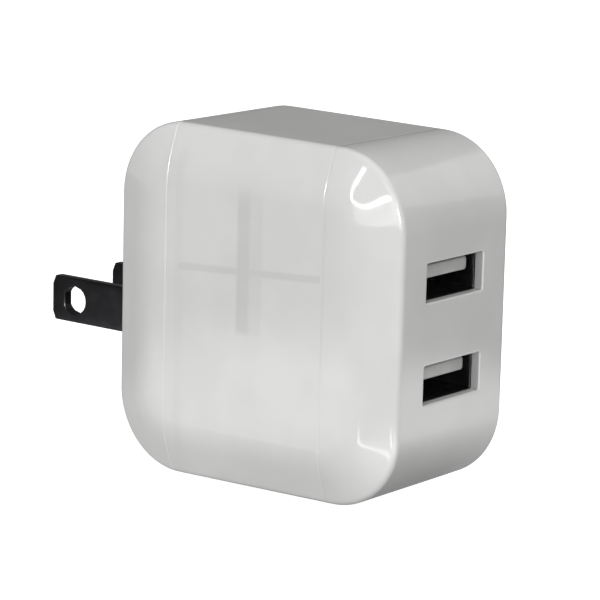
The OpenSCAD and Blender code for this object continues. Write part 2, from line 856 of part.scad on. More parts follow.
front_cap();
centre_sleeve();
rear_housing();
prong_left();
prong_right();
prong_spindle();
prong_retainer();
detent_spring();
contact_spring_left();
contact_spring_right();
mains_wire_left();
mains_wire_right();
main_board();
insulation_sheet();
fuse_resistor();
bridge_rectifier();
filter_choke();
input_capacitor_rear();
input_capacitor_front();
controller_chip();
transformer_core_upper();
transformer_core_lower();
transformer_bobbin();
transformer_winding();
transformer_pins();
optocoupler();
safety_capacitor();
output_diode();
output_capacitor_upper();
output_capacitor_lower();
port_board();
board_link();
port_chip();
usb_shell_upper();
usb_insulator_upper();
usb_contacts_upper();
usb_shell_lower();
usb_insulator_lower();
usb_contacts_lower();
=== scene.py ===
"""Looks of a two-port USB wall charger with folding prongs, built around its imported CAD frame.

Lengths are in metres in the frame's own axes: +Y leaves the wall face along the prongs, -Y is the
USB face, +Z is up and X crosses the thickness. Most shapes of the casing are worked out in the
coordinates of one end: x, the distance e from that end's flat face into the casing, and z.
"""
import json
import math

import bmesh
import bpy
import numpy as np
from mathutils import Matrix, Vector


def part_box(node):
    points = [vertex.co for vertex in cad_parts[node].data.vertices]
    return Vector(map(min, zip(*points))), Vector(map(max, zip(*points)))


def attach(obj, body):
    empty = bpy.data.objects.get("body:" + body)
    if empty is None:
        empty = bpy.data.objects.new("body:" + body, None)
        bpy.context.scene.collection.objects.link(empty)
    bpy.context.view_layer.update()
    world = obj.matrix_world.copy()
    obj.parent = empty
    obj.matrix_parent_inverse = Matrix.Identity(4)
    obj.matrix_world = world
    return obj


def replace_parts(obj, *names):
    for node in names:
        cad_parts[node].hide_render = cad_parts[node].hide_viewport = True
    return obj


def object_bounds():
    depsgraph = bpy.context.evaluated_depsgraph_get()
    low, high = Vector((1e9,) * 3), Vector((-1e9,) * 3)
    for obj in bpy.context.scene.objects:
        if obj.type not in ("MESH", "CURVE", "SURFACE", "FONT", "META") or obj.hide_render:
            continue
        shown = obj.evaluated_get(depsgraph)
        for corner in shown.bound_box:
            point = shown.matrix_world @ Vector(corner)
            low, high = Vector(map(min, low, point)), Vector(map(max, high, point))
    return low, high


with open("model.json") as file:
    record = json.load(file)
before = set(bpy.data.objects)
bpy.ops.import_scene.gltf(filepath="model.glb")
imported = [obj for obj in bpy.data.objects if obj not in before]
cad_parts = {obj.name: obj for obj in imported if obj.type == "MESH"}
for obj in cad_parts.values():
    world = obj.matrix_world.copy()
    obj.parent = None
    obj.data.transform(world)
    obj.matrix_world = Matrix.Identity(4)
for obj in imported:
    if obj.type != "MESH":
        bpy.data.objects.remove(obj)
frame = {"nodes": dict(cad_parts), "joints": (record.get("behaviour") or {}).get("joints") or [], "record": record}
cad_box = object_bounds()

MM = 0.001

# ---------- sizes read from the frame ----------

cap_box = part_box("front_cap")
sleeve_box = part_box("centre_sleeve")
retainer_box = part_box("prong_retainer")
spindle_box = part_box("prong_spindle")
prong_boxes = {side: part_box("prong_" + side) for side in ("left", "right")}
DEPTH = -cap_box[0].y
HALF_HEIGHT = cad_box[1].z
HALF_X = sleeve_box[1].x
FRONT_SEAM = sleeve_box[0].y + DEPTH
REAR_SEAM = -sleeve_box[1].y
LIP = cap_box[1].y - sleeve_box[0].y
PIVOT = Vector(frame["joints"][0]["pos_m"])
PIVOT_DEPTH = -PIVOT.y
PRONG_X = (prong_boxes["right"][0].x + prong_boxes["right"][1].x) / 2
PRONG_THICK = prong_boxes["right"][1].x - prong_boxes["right"][0].x
PRONG_HALF = (prong_boxes["right"][1].z - prong_boxes["right"][0].z) / 2
PRONG_TIP = prong_boxes["right"][1].y
HOLE = next(m for m in frame["record"]["mounts"] if m["name"] == "prong_holes")

# ---------- sizes of the casing ----------

EDGE_X = 11.8 * MM          # half thickness at the outline edge
CROWN = HALF_X - EDGE_X     # how far a broad face stands proud of its edge
BAND = 6 * MM               # width of the sloping band round a broad face
CORNER = 10.5 * MM          # radius of the outline's corners
DRAFT = math.radians(0.85)  # taper of the outline towards the USB face
WALL = 1.8 * MM
EDGE_ROUND = 1.0 * MM       # rounding between the side faces and the band
INNER_ROUND = 0.3 * MM      # the same inside the wall
CROWN_BLEND = 0.8 * MM      # softness of the bend from the band to the flat of a broad face
CHAMFER = 0.08 * MM         # width and depth of the broken edge at a parting line
GROOVE = 0.05 * MM
FRONT_SHARE = 0.5           # the front parting line's broken edge, as a share of the rear one's
REBATE = WALL / 2
LIP_INSET = REBATE + 0.1 * MM
SLOPE = CROWN / BAND
REAR_Z = HALF_HEIGHT - CORNER
FRONT_Z = REAR_Z - (DEPTH - 2 * CORNER) * math.tan(DRAFT)

# ---------- sizes of the openings ----------

PORT_HALF = (6.35 * MM, 2.6 * MM)
PORT_CORNER = 0.3 * MM
PORT_RIM = 0.22 * MM
PORT_WALL = 1.3 * MM
SLOT_LOW = PIVOT.z - PRONG_HALF - 0.35 * MM
SLOT_HIGH = PIVOT.z + PIVOT_DEPTH + PRONG_TIP + 0.35 * MM
SLOT_HALF = (PRONG_THICK / 2 + 0.4 * MM, (SLOT_HIGH - SLOT_LOW) / 2)
SLOT_Z = (SLOT_HIGH + SLOT_LOW) / 2
SLOT_CORNER = 0.5 * MM
SLOT_RIM = 0.25 * MM
GROOVE_RADIUS = spindle_box[1].z - PIVOT.z + 0.06 * MM
GROOVE_HALF = spindle_box[1].x + 0.4 * MM
SCOOP_RADIUS = 7 * MM
SCOOP_DEPTH = 1.9 * MM
SCOOP_Z = SLOT_HIGH - 5.4 * MM
SCOOP_HALF = PRONG_X + SLOT_HALF[0] + 1.4 * MM
STEP = 0.01 * MM            # distance between the two grid lines of an upright step


# ---------- mesh work ----------

def grid_quads(rows, columns, wrap_rows=False, wrap_columns=False):
    """Quads between neighbouring points of a grid whose points are numbered row by row."""
    r = np.arange(rows if wrap_rows else rows - 1)[:, None]
    c = np.arange(columns if wrap_columns else columns - 1)[None, :]
    r2, c2 = (r + 1) % rows, (c + 1) % columns
    corners = [r * columns + c, r * columns + c2, r2 * columns + c2, r2 * columns + c]
    return np.stack(np.broadcast_arrays(*corners), -1)


def make_piece(name, patches, body, material, sharp=32.0, ends=()):
    """Joins patches into one closed mesh. A patch is (points, wrap rows, wrap columns, kept cells);
    ends are closed rings, each shut with a fan of triangles to its middle point."""
    points, faces, first = [], [], 0
    for grid, wrap_rows, wrap_columns, kept in patches:
        rows, columns = grid.shape[:2]
        quads = grid_quads(rows, columns, wrap_rows, wrap_columns)
        quads = quads.reshape(-1, 4) if kept is None else quads[kept]
        points.append(grid.reshape(-1, 3))
        faces += (quads + first).tolist()
        first += rows * columns
    for ring in ends:
        count = len(ring)
        points.append(np.vstack([ring, ring.mean(0)]))
        around = np.arange(count)
        fan = np.stack([around, (around + 1) % count, np.full(count, count)], -1)
        faces += (fan + first).tolist()
        first += count + 1
    mesh = bpy.data.meshes.new(name)
    mesh.from_pydata(np.concatenate(points), [], faces)
    work = bmesh.new()
    work.from_mesh(mesh)
    bmesh.ops.remove_doubles(work, verts=work.verts, dist=STEP / 10)
    bmesh.ops.recalc_face_normals(work, faces=work.faces)
    work.to_mesh(mesh)
    work.free()
    mesh.polygons.foreach_set("use_smooth", np.ones(len(mesh.polygons), bool))
    mesh.set_sharp_from_angle(angle=math.radians(sharp))
    mesh.materials.append(material)
    piece = bpy.data.objects.new(name, mesh)
    bpy.context.scene.collection.objects.link(piece)
    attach(piece, body)
    return piece


def xez(x, e, z):
    """Stacks x, e and z, spread to one shape, into points."""
    return np.stack(np.broadcast_arrays(x, e, z), -1)


def to_front(points):
    """From x, e, z of the USB end to the frame's axes: y is e less the casing's depth."""
    return points + np.array([0, -DEPTH, 0])


def to_rear(points):
    """From x, e, z of the wall end to the frame's axes: y is minus e."""
    return points * np.array([1, -1, 1])


def lines(*groups):
    """One rising list of grid lines, in metres, from groups of numbers in millimetres."""
    return np.unique(np.round(np.concatenate([np.atleast_1d(g) for g in groups]), 5)) * MM


def both_sides(values):
    """The values with their mirror images in zero, in rising order."""
    return np.unique(np.concatenate([-values, values]))


# ---------- the casing's form ----------

def smooth_min(a, b, blend):
    """The smaller of a and b, less a parabola-rounded bite where they differ by under blend."""
    return np.minimum(a, b) - np.maximum(blend - np.abs(a - b), 0) ** 2 / (4 * blend)


def smooth_max(a, b, blend):
    """The larger of a and b, plus a rounded fillet where they differ by under blend."""
    return -smooth_min(-a, -b, blend)


def crown(inset):
    """Height of a broad face over its edge: it climbs at an even slope from the outline, then
    bends softly into the flat."""
    return smooth_min(inset * SLOPE, CROWN, CROWN_BLEND)


def profile(base, rounding):
    """Insets and x positions from the end of the side face to the inner edge of the band.
    An arc of the given rounding turns from the side face into the slope, which crown() carries on.
    base is 0 on the outside of the wall and the wall's thickness on its inside."""
    turn = math.pi / 2 - math.atan(SLOPE)
    angle = np.linspace(0, turn, 9)
    start = EDGE_X - base - rounding * math.tan(turn / 2)
    arc_inset = rounding * (1 - np.cos(angle))
    arc_x = start + rounding * np.sin(angle)
    rest = np.linspace(arc_inset[-1], 7.6 * MM, 19)[1:]
    insets = np.concatenate([arc_inset, rest])
    return base + insets, np.concatenate([arc_x, EDGE_X - base + crown(rest)])


def corner_path(inset, share, first, seam, centre_z, last):
    """e and z on the outline's corner, at a share of the way from angle first to the seam plane.
    The way is an arc of radius corner less inset, up to angle last or the seam, and then a
    straight line along the tapered side. Angles start at the end face's outward normal."""
    radius = CORNER - inset
    stop = np.minimum(last, np.arccos(np.clip((CORNER - seam) / radius, -1, 1)))
    arc = radius * (stop - first)
    line = (seam - CORNER + radius * np.cos(stop)) / math.sin(last)
    way = share * (arc + line)
    angle = first + np.minimum(way, arc) / radius
    past = np.maximum(way - arc, 0)
    e = CORNER - radius * np.cos(angle) + past * math.sin(last)
    return e, centre_z + radius * np.sin(angle) + past * math.cos(last)


def inset_of(e, z, centre_z):
    """Distance of a point inside the outline: from the corner's arc in its quadrant, and from the
    nearer straight side elsewhere."""
    towards_end = CORNER - e
    upwards = np.abs(z) - centre_z
    outside = (towards_end > 0) & (upwards > 0)
    return CORNER - np.where(outside, np.hypot(towards_end, upwards),
                             np.maximum(towards_end, upwards))


def block_edge(points, rows, columns):
    """The points round a block of grid cells, in order: rows and columns are its first and last."""
    (r0, r1), (c0, c1) = rows, columns
    return np.concatenate([points[r0, c0:c1], points[r0:r1, c1],
                           points[r1, c1:c0:-1], points[r1:r0:-1, c0]])


def opening(outer_edge, inner_edge, centre, half, corner, rim, outer_e, inner_e):
    """The surface through one opening, carried along the edge of its block of cells. Each point of
    that edge looks for the nearest point of a rectangle with rounded corners; from there the rows
    run over a quarter-round rim, down the wall and out to the same block on the wall's inside."""
    flat = outer_edge[:, [0, 2]] - centre
    core = np.array(half) - corner
    foot = np.clip(flat, -core, core)
    away = (flat - foot) / np.linalg.norm(flat - foot, axis=1, keepdims=True)

    def row(offset, depth):
        x, z = (centre + foot + away * offset).T
        return xez(x, depth(x, z), z)

    turns = np.linspace(0, math.pi / 2, 6)
    rows = [outer_edge, row(corner + 1.4 * rim, outer_e)]
    rows += [row(corner + rim * (1 - math.sin(t)),
                 lambda x, z, t=t: outer_e(x, z) + rim * (1 - math.cos(t))) for t in turns]
    rows += [row(corner, lambda x, z, s=s: (outer_e(x, z) + rim) * (1 - s) + inner_e(x, z) * s)
             for s in (0.1, 0.5, 1)]
    return np.stack(rows + [inner_edge])


def shell_surface(base, rounding, strap_x, face_z, seam, centre_z, last):
    """One surface of an end shell as a grid of x, e, z. Columns run across the thickness: over one
    broad face, the band, the rounded edge, the side face and back down to the other broad face.
    Rows run round the outline: from the seam over the upper corner, down the end face and round
    the lower corner back to the seam."""
    side_inset, side_x = profile(base, rounding)
    inset = np.concatenate([side_inset[::-1], np.full(len(strap_x), base), side_inset])[None, :]
    x = np.concatenate([-side_x[::-1], strap_x, side_x])[None, :]
    radius = CORNER - base
    first = math.asin(max(face_z[-1] - centre_z, 0) / radius)
    share = np.linspace(1, 0, 30, endpoint=False)[:, None]
    top_e, top_z = corner_path(inset, share, first, seam, centre_z, last)
    down = face_z[::-1][:, None]
    angle = np.arcsin(np.clip(np.abs(down) - centre_z, 0, None) / radius)
    mid_e = CORNER - (CORNER - inset) * np.cos(angle)
    mid_z = np.sign(down) * (np.minimum(np.abs(down), centre_z) + (CORNER - inset) * np.sin(angle))
    e = np.vstack([top_e, mid_e, top_e[::-1]])
    z = np.vstack([top_z, mid_z, -top_z[::-1]])
    x = np.broadcast_to(x, e.shape)
    share = np.linspace(1, 0, 6, endpoint=False)[None, :]
    flats = []
    for column, sign in ((0, -1), (-1, 1)):
        start_e, start_z = e[:, column, None], z[:, column, None]
        flat_e = start_e + (seam - start_e) * share
        flat_z = np.broadcast_to(start_z, flat_e.shape)
        rise = EDGE_X - base + crown(inset_of(flat_e, flat_z, centre_z) - base)
        flats.append(xez(sign * rise, flat_e, flat_z))
    return np.concatenate([flats[0], xez(x, e, z), flats[1][:, ::-1]], 1)


def whole_edge(points):
    """The edge of a whole grid, in order."""
    return block_edge(points, (0, points.shape[0] - 1), (0, points.shape[1] - 1))


def lip_rows(outer, inner, seam, broken=1.0):
    """Rows from a shell's outer edge to its inner edge, a share of the wall deep at a given e:
    the broken edge of the parting line, the flat that meets the sleeve, and the lip beyond it."""
    chamfer, groove = broken * CHAMFER, broken * GROOVE
    rim = seam - chamfer
    steps = [(rim, 0), (seam - 0.4 * chamfer, 0.4 * groove), (seam, groove), (seam, LIP_INSET),
             (seam + 0.9 * LIP, LIP_INSET), (seam + LIP, LIP_INSET + 0.1 * LIP),
             (seam + LIP, WALL), (rim, WALL)]
    a, b = whole_edge(outer), whole_edge(inner)
    rows = []
    for e, depth in steps:
        share = depth / WALL
        row = a * (1 - share) + b * share
        row[:, 1] = e
        rows.append(row)
    return np.stack(rows)


def cells(points, blocks):
    """Which cells of a grid are kept when those in the blocks are left open."""
    kept = np.ones((points.shape[0] - 1, points.shape[1] - 1), bool)
    for (r0, r1), (c0, c1) in blocks:
        kept[r0:r1, c0:c1] = False
    return kept


def block_at(points, x_range, z_range):
    """Rows and columns of the grid lines at the given x and z positions on the end face."""
    middle = points.shape[0] // 2
    strap = np.where(np.abs(points[middle, :, 0]) < EDGE_X - EDGE_ROUND)[0]
    columns = [strap[np.argmin(np.abs(points[middle, strap, 0] - v))] for v in x_range]
    column = columns[0]
    rows = [int(np.argmin(np.abs(points[:, column, 2] - v))) for v in (z_range[1], z_range[0])]
    return tuple(rows), tuple(int(c) for c in columns)


# ---------- materials ----------

RIB_CROSSING = 23.5 * MM    # depth at which the level rib has its stated height
RIB_TILT = 0.055            # rise of the level rib's shade for each unit of depth
RIB_AND_LIP_SHADE_STRENGTH = 0.13        # how dark the painted shade of the ribs and lip is


def linear(code):
    """An sRGB hex colour as linear red, green, blue and alpha."""
    parts = [int(code[i:i + 2], 16) / 255 for i in (1, 3, 5)]
    return [c / 12.92 if c <= 0.04045 else ((c + 0.055) / 1.055) ** 2.4 for c in parts] + [1.0]


def add(tree, kind, *inputs, sockets=None, **settings):
    """Adds one shader node and returns its outputs. The inputs fill its sockets in order, sockets
    fills others by name or number, each with a value or another node's output, and settings are
    the node's own properties."""
    made = tree.nodes.new("ShaderNode" + kind)
    for name, value in settings.items():
        setattr(made, name, value)
    for key, value in [*enumerate(inputs), *(sockets or {}).items()]:
        if isinstance(value, bpy.types.NodeSocket):
            tree.links.new(value, made.inputs[key])
        else:
            made.inputs[key].default_value = value
    return made.outputs


def start(name, **surface):
    """A new material with one Principled shader, whose even properties are given by socket name
    with spaces written as underscores. Returns the material, its tree, the shader and the
    position on the piece in metres."""
    material = bpy.data.materials.new(name)
    material.use_nodes = True
    tree = material.node_tree
    tree.nodes.clear()
    even = {key.replace("_", " "): value for key, value in surface.items()}
    shine = add(tree, "BsdfPrincipled", sockets=even)[0]
    add(tree, "OutputMaterial", shine)
    return material, tree, shine.node, add(tree, "TexCoord")["Object"]


def mottle(tree, place, size, low, high, detail=3.0, rough=0.5, spread=0.2, stretch=(1, 1, 1)):
    """Blotches about size metres across, drawn out along the stretched axes. Returns a value that
    swings softly between low and high, and the bare pattern, which serves as relief."""
    scaled = add(tree, "Mapping", sockets={"Vector": place, "Scale": [1 / s for s in stretch]})[0]
    pattern = add(tree, "TexNoise", sockets={"Vector": scaled, "Scale": 1 / size,
                                             "Detail": detail, "Roughness": rough})[0]
    swing = add(tree, "MapRange", pattern, 0.5 - spread, 0.5 + spread, low, high,
                interpolation_type="SMOOTHSTEP")[0]
    return swing, pattern


def patch(tree, strength, *limits):
    """The strength inside a box, falling softly to nothing outside it. Each limit is a value in
    metres with its low, its high and the widths of the fall below and above, in millimetres."""
    share = strength
    for value, low, high, below, above in limits:
        rise = add(tree, "MapRange", value, (low - below) * MM, low * MM, 0.0, 1.0,
                   interpolation_type="SMOOTHSTEP")[0]
        fall = add(tree, "MapRange", value, high * MM, (high + above) * MM, 1.0, 0.0,
                   interpolation_type="SMOOTHSTEP")[0]
        inside = add(tree, "Math", rise, fall, operation="MULTIPLY")[0]
        share = add(tree, "Math", inside, share, operation="MULTIPLY")[0]
    return share


def finish_surface(tree, shader, share, low, high, rough, height, depth):
    """Joins to the shader a colour between low and high, a roughness, and height as relief of the
    given depth."""
    colour = add(tree, "Mix", share, sockets={6: low, 7: high}, data_type="RGBA")[2]
    relief = add(tree, "Bump", sockets={"Height": height, "Distance": depth, "Strength": 1.0})[0]
    tree.links.new(colour, shader.inputs["Base Color"])
    tree.links.new(rough, shader.inputs["Roughness"])
    tree.links.new(relief, shader.inputs["Normal"])


def glossy_polycarbonate():
    """White polycarbonate moulded against a polished steel mould: clean gloss with a very slight
    orange peel and a faint cloudiness. Painted shade stands for the stiffening ribs and a lip that show dimly
    through the wall where the plastic is thicker, and painted shade darkens the side walls of the port openings."""
    material, tree, shader, place = start("glossy_polycarbonate", IOR=1.50,
                                          Specular_IOR_Level=0.5)
    x, y, z = add(tree, "SeparateXYZ", place)
    off_middle = add(tree, "Math", x, operation="ABSOLUTE")[0]
    cloud, _ = mottle(tree, place, 9 * MM, 0.0, 1.0, 2.0, spread=0.15)
    white = add(tree, "Mix", cloud, sockets={6: linear("#E9E9E7"), 7: linear("#EDEDEC")},
                data_type="RGBA")[2]
    # Painted shade of the ribs and lip behind the wall, mixed towards #4A4A4C on the broad faces
    rib_height = (z, -1.8, 13.5, 1.2, 4.5)
    core = patch(tree, 0.6, (y, -23.5, -22.1, 0.8, 0.5), rib_height)
    side = patch(tree, 0.4, (y, -25.7, -22.1, 0.6, 0.5), rib_height)
    upright = add(tree, "Math", core, side, operation="ADD")[0]
    shifted = add(tree, "Math", y, RIB_CROSSING, operation="ADD")[0]
    tilt = add(tree, "Math", shifted, RIB_TILT, operation="MULTIPLY")[0]
    tilted_z = add(tree, "Math", z, tilt, operation="ADD")[0]
    level = patch(tree, 0.75, (y, -35.4, -12.2, 0.3, 0.8), (tilted_z, 5.5, 6.1, 0.35, 0.35))
    lip = patch(tree, 0.22, (y, -12.0, -11.4, 1.2, 0.25))
    ribs = add(tree, "Math", upright, level, operation="MAXIMUM")[0]
    rib_and_lip_shade = add(tree, "Math", ribs, lip, operation="MAXIMUM")[0]
    outward = patch(tree, RIB_AND_LIP_SHADE_STRENGTH, (off_middle, 13.4, 20.0, 0.8, 1.0))
    rib_and_lip_shade = add(tree, "Math", rib_and_lip_shade, outward, operation="MULTIPLY")[0]
    shaded_white = add(tree, "Mix", rib_and_lip_shade, sockets={6: white, 7: linear("#4A4A4C")}, data_type="RGBA")[2]
    # Painted shade: the side walls of the port openings darkened towards #303030
    shade = patch(tree, 0.5, (off_middle, 6.0, 6.36, 0.1, 0.02), (y, -46.7, -44.0, 0.25, 0.1),
                  (z, -10.0, 10.0, 0.5, 0.5))
    rough, _ = mottle(tree, place, 3 * MM, 0.06, 0.085, 4.0)
    _, peel = mottle(tree, place, 0.9 * MM, 0.0, 1.0, 2.0, 0.45)
    finish_surface(tree, shader, shade, shaded_white, linear("#303030"), rough, peel, 0.0008 * MM)
    return material


def moulded_plastic(name, low, high, rough, grain):
    """Plain moulded plastic such as PBT or ABS from a spark-eroded mould: even colour with slight
    flow clouds, and a fine grain that keeps its shine broken."""
    material, tree, shader, place = start(name, IOR=1.55)
    cloud, _ = mottle(tree, place, 2.5 * MM, 0.0, 1.0)
    shine, speck = mottle(tree, place, grain, rough - 0.06, rough + 0.06, 3.0, 0.6)
    finish_surface(tree, shader, cloud, linear(low), linear(high), shine, speck, 0.006 * MM)
    return material


def rolled_metal(name, low, high, rough, along):
    """Rolled and plated sheet metal: fine drawn lines along the rolling direction, a slightly
    uneven plating tone, and a satin shine."""
    material, tree, shader, place = start(name, Metallic=1.0)
    stretch = [12 if axis == along else 1 for axis in "xyz"]
    shine, drawn = mottle(tree, place, 0.16 * MM, rough - 0.07, rough + 0.07, 3.0, 0.6,
                          stretch=stretch)
    cloud, _ = mottle(tree, place, 2.2 * MM, 0.0, 1.0)
    finish_surface(tree, shader, cloud, linear(low), linear(high), shine, drawn, 0.003 * MM)
    return material


def woven_laminate():
    """Glass-epoxy circuit board under green solder mask: the glass weave, about 0.5 mm from
    thread to thread, shows as a faint check."""
    material, tree, shader, place = start("woven_laminate", IOR=1.52)
    pitch = 0.5 * MM
    weave = 0.0
    for axis in add(tree, "SeparateXYZ", place):
        turns = add(tree, "Math", axis, 2 * math.pi / pitch, operation="MULTIPLY")[0]
        wave = add(tree, "Math", turns, operation="SINE")[0]
        weave = add(tree, "Math", wave, weave, operation="ADD")[0]
    check = add(tree, "MapRange", weave, -2.0, 2.0, 0.0, 1.0, interpolation_type="SMOOTHSTEP")[0]
    rough, _ = mottle(tree, place, 4 * MM, 0.28, 0.42)
    finish_surface(tree, shader, check, linear("#1E4A2C"), linear("#2C6640"), rough, weave,
                   0.004 * MM)
    return material


def fired_powder(name, low, high, rough):
    """Pressed and fired or dipped powder such as ferrite, ceramic or resistor coating: fine
    specks of two tones and a slightly pitted skin."""
    material, tree, shader, place = start(name, IOR=1.6)
    tone, _ = mottle(tree, place, 0.25 * MM, 0.0, 1.0, 4.0, 0.7, spread=0.15)
    shine, speck = mottle(tree, place, 0.25 * MM, rough - 0.08, rough + 0.08, 4.0, 0.7)
    finish_surface(tree, shader, tone, linear(low), linear(high), shine, speck, 0.012 * MM)
    return material


def wound_wire():
    """Enamelled copper wire wound in close turns, 0.2 mm from turn to turn, under varnish, with painted shade: the
    colour darkens in the dips between turns.
    """
    material, tree, shader, place = start("wound_wire", Metallic=1.0, Coat_Weight=0.6,
                                          Coat_Roughness=0.12)
    wire = 0.2 * MM
    height = add(tree, "SeparateXYZ", place)["Z"]
    angle = add(tree, "Math", height, 2 * math.pi / wire, operation="MULTIPLY")[0]
    turns = add(tree, "Math", angle, operation="SINE")[0]
    # Painted shade: the colour follows the relief of the turns, dark in the dips between them
    tone = add(tree, "MapRange", turns, -1.0, 1.0, 0.0, 1.0, interpolation_type="SMOOTHSTEP")[0]
    rough, _ = mottle(tree, place, 1.5 * MM, 0.25, 0.4)
    finish_surface(tree, shader, tone, linear("#5A2410"), linear("#C4703A"), rough, turns,
                   0.03 * MM)
    return material


casing = glossy_polycarbonate()
# Black-nickelled brass: near black with a satin gleam along the blade
prong_metal = rolled_metal("black_nickel_on_brass", "#29292B", "#303032", 0.36, "y")
# Steel, darkened to dark grey as painted shade so that the port looks deep
port_metal = rolled_metal("steel_darkened_as_port_shade", "#39393B", "#444446", 0.38, "y")
# Glass-filled nylon: pale grey and finely speckled
tongue_plastic = moulded_plastic("glass_filled_nylon", "#C9C9C7", "#D6D6D4", 0.42, 0.22 * MM)
CAD_MATERIALS = {
    # Moulded acetal: deep black with a dull sheen
    moulded_plastic("black_acetal", "#161617", "#202022", 0.4, 0.25 * MM):
        ["prong_spindle"],
    # Moulded ABS: plain off-white, finely grained
    moulded_plastic("grey_white_abs", "#C4C5C3", "#D0D1CF", 0.45, 0.3 * MM):
        ["prong_retainer"],
    # Rolled spring steel: cool grey, streaked across its length
    rolled_metal("spring_steel_strip", "#9A9C9F", "#B4B6B8", 0.3, "z"):
        ["detent_spring"],
    # Rolled phosphor bronze: warm brown gold, lightly streaked
    rolled_metal("phosphor_bronze_strip", "#B08A48", "#C9A25C", 0.3, "z"):
        ["contact_spring_left", "contact_spring_right"],
    # Gold-flashed contact strip: bright yellow, fine drawn lines
    rolled_metal("gold_flashed_contact", "#C9A24E", "#DDB968", 0.24, "y"):
        ["usb_contacts_upper", "usb_contacts_lower"],
    # Tinned copper wire: pale silver with a soft shine
    rolled_metal("tinned_pin", "#B9BBBC", "#CFD0D0", 0.28, "x"):
        ["board_link", "transformer_pins"],
    # Extruded PVC: smooth black
    moulded_plastic("black_wire_insulation", "#0E0E0F", "#19191A", 0.35, 0.4 * MM):
        ["mains_wire_left"],
    # Extruded PVC: smooth dark red
    moulded_plastic("red_wire_insulation", "#8E1A14", "#A3231B", 0.35, 0.4 * MM):
        ["mains_wire_right"],
    # Glass-epoxy board
    woven_laminate():
        ["main_board", "port_board"],
    # Drawn polyester film: cream, smooth and slightly cloudy
    moulded_plastic("polyester_film", "#E0D9BE", "#E8E2CA", 0.3, 0.6 * MM):
        ["insulation_sheet"],
    # Dipped resistor coating: tan and speckled
    fired_powder("tan_resistor_coating", "#A98A5E", "#C2A274", 0.5):
        ["fuse_resistor"],
    # Moulded epoxy: matt black with a tight grain
    moulded_plastic("black_epoxy_package", "#121213", "#1C1C1D", 0.5, 0.15 * MM):
        ["bridge_rectifier", "controller_chip", "output_diode", "port_chip"],
    # Moulded epoxy: off-white with a tight grain
    moulded_plastic("white_epoxy_package", "#D2D2CE", "#DEDEDA", 0.45, 0.15 * MM):
        ["optocoupler"],
    # Dipped ceramic: blue with a low gloss
    fired_powder("blue_disc_ceramic", "#24508A", "#3468A6", 0.35):
        ["safety_capacitor"],
    # Sintered ferrite: charcoal, dry and slightly pitted
    fired_powder("sintered_ferrite", "#262829", "#3A3C3E", 0.55):
        ["transformer_core_upper", "transformer_core_lower"],
    # Lacquered winding: brown, uneven and half glossy
    fired_powder("lacquered_choke", "#4E2A18", "#6A3C24", 0.4):
        ["filter_choke"],
    # Drawn aluminium can: silver grey with lines along its height
    rolled_metal("aluminium_can", "#A8AAAC", "#C2C4C6", 0.32, "x"):
        ["input_capacitor_rear", "input_capacitor_front",
         "output_capacitor_upper", "output_capacitor_lower"],
    # Moulded phenolic: ochre with faint flow clouds
    moulded_plastic("phenolic_bobbin", "#B89A5A", "#C8AC6C", 0.42, 0.3 * MM):
        ["transformer_bobbin"],
    # Varnished winding
    wound_wire():
        ["transformer_winding"],
}
for finish, node_names in CAD_MATERIALS.items():
    for node_name in node_names:
        node_mesh = frame["nodes"][node_name].data
        node_mesh.materials.clear()
        node_mesh.materials.append(finish)


# ---------- front cap ----------

PORTS = {name: (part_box("usb_shell_" + name)[0].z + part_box("usb_shell_" + name)[1].z) / 2
         for name in ("upper", "lower")}
SHELL_HALF = (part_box("usb_shell_upper")[1].x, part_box("usb_shell_upper")[1].z - PORTS["upper"])
POCKET_X = 7.65 * MM
POCKET_Z = 11.95 * MM
LEDGE = (SHELL_HALF[1] + 0.1 * MM, SHELL_HALF[1] + 1.1 * MM)
LEDGE_DEPTH = 4 * MM


def front_inside(x, z):
    """Depth of the front wall's inner face: the wall, thinner in the pocket behind the ports, with
    two ledges that steady each receptacle."""
    middle = (PORTS["upper"] + PORTS["lower"]) / 2
    pocket = (np.abs(x) <= POCKET_X) & (np.abs(z - middle) <= POCKET_Z)
    depth = np.where(pocket, PORT_WALL, WALL)
    for port_z in PORTS.values():
        off = np.abs(z - port_z)
        ledge = (np.abs(x) <= SHELL_HALF[0]) & (off >= LEDGE[0]) & (off <= LEDGE[1])
        depth = np.where(ledge, PORT_WALL + LEDGE_DEPTH, depth)
    return depth


def stepped(positions):
    """Each position in metres with a second line just past it, in millimetres."""
    values = np.asarray(positions) / MM
    return np.concatenate([values, values + STEP / MM])


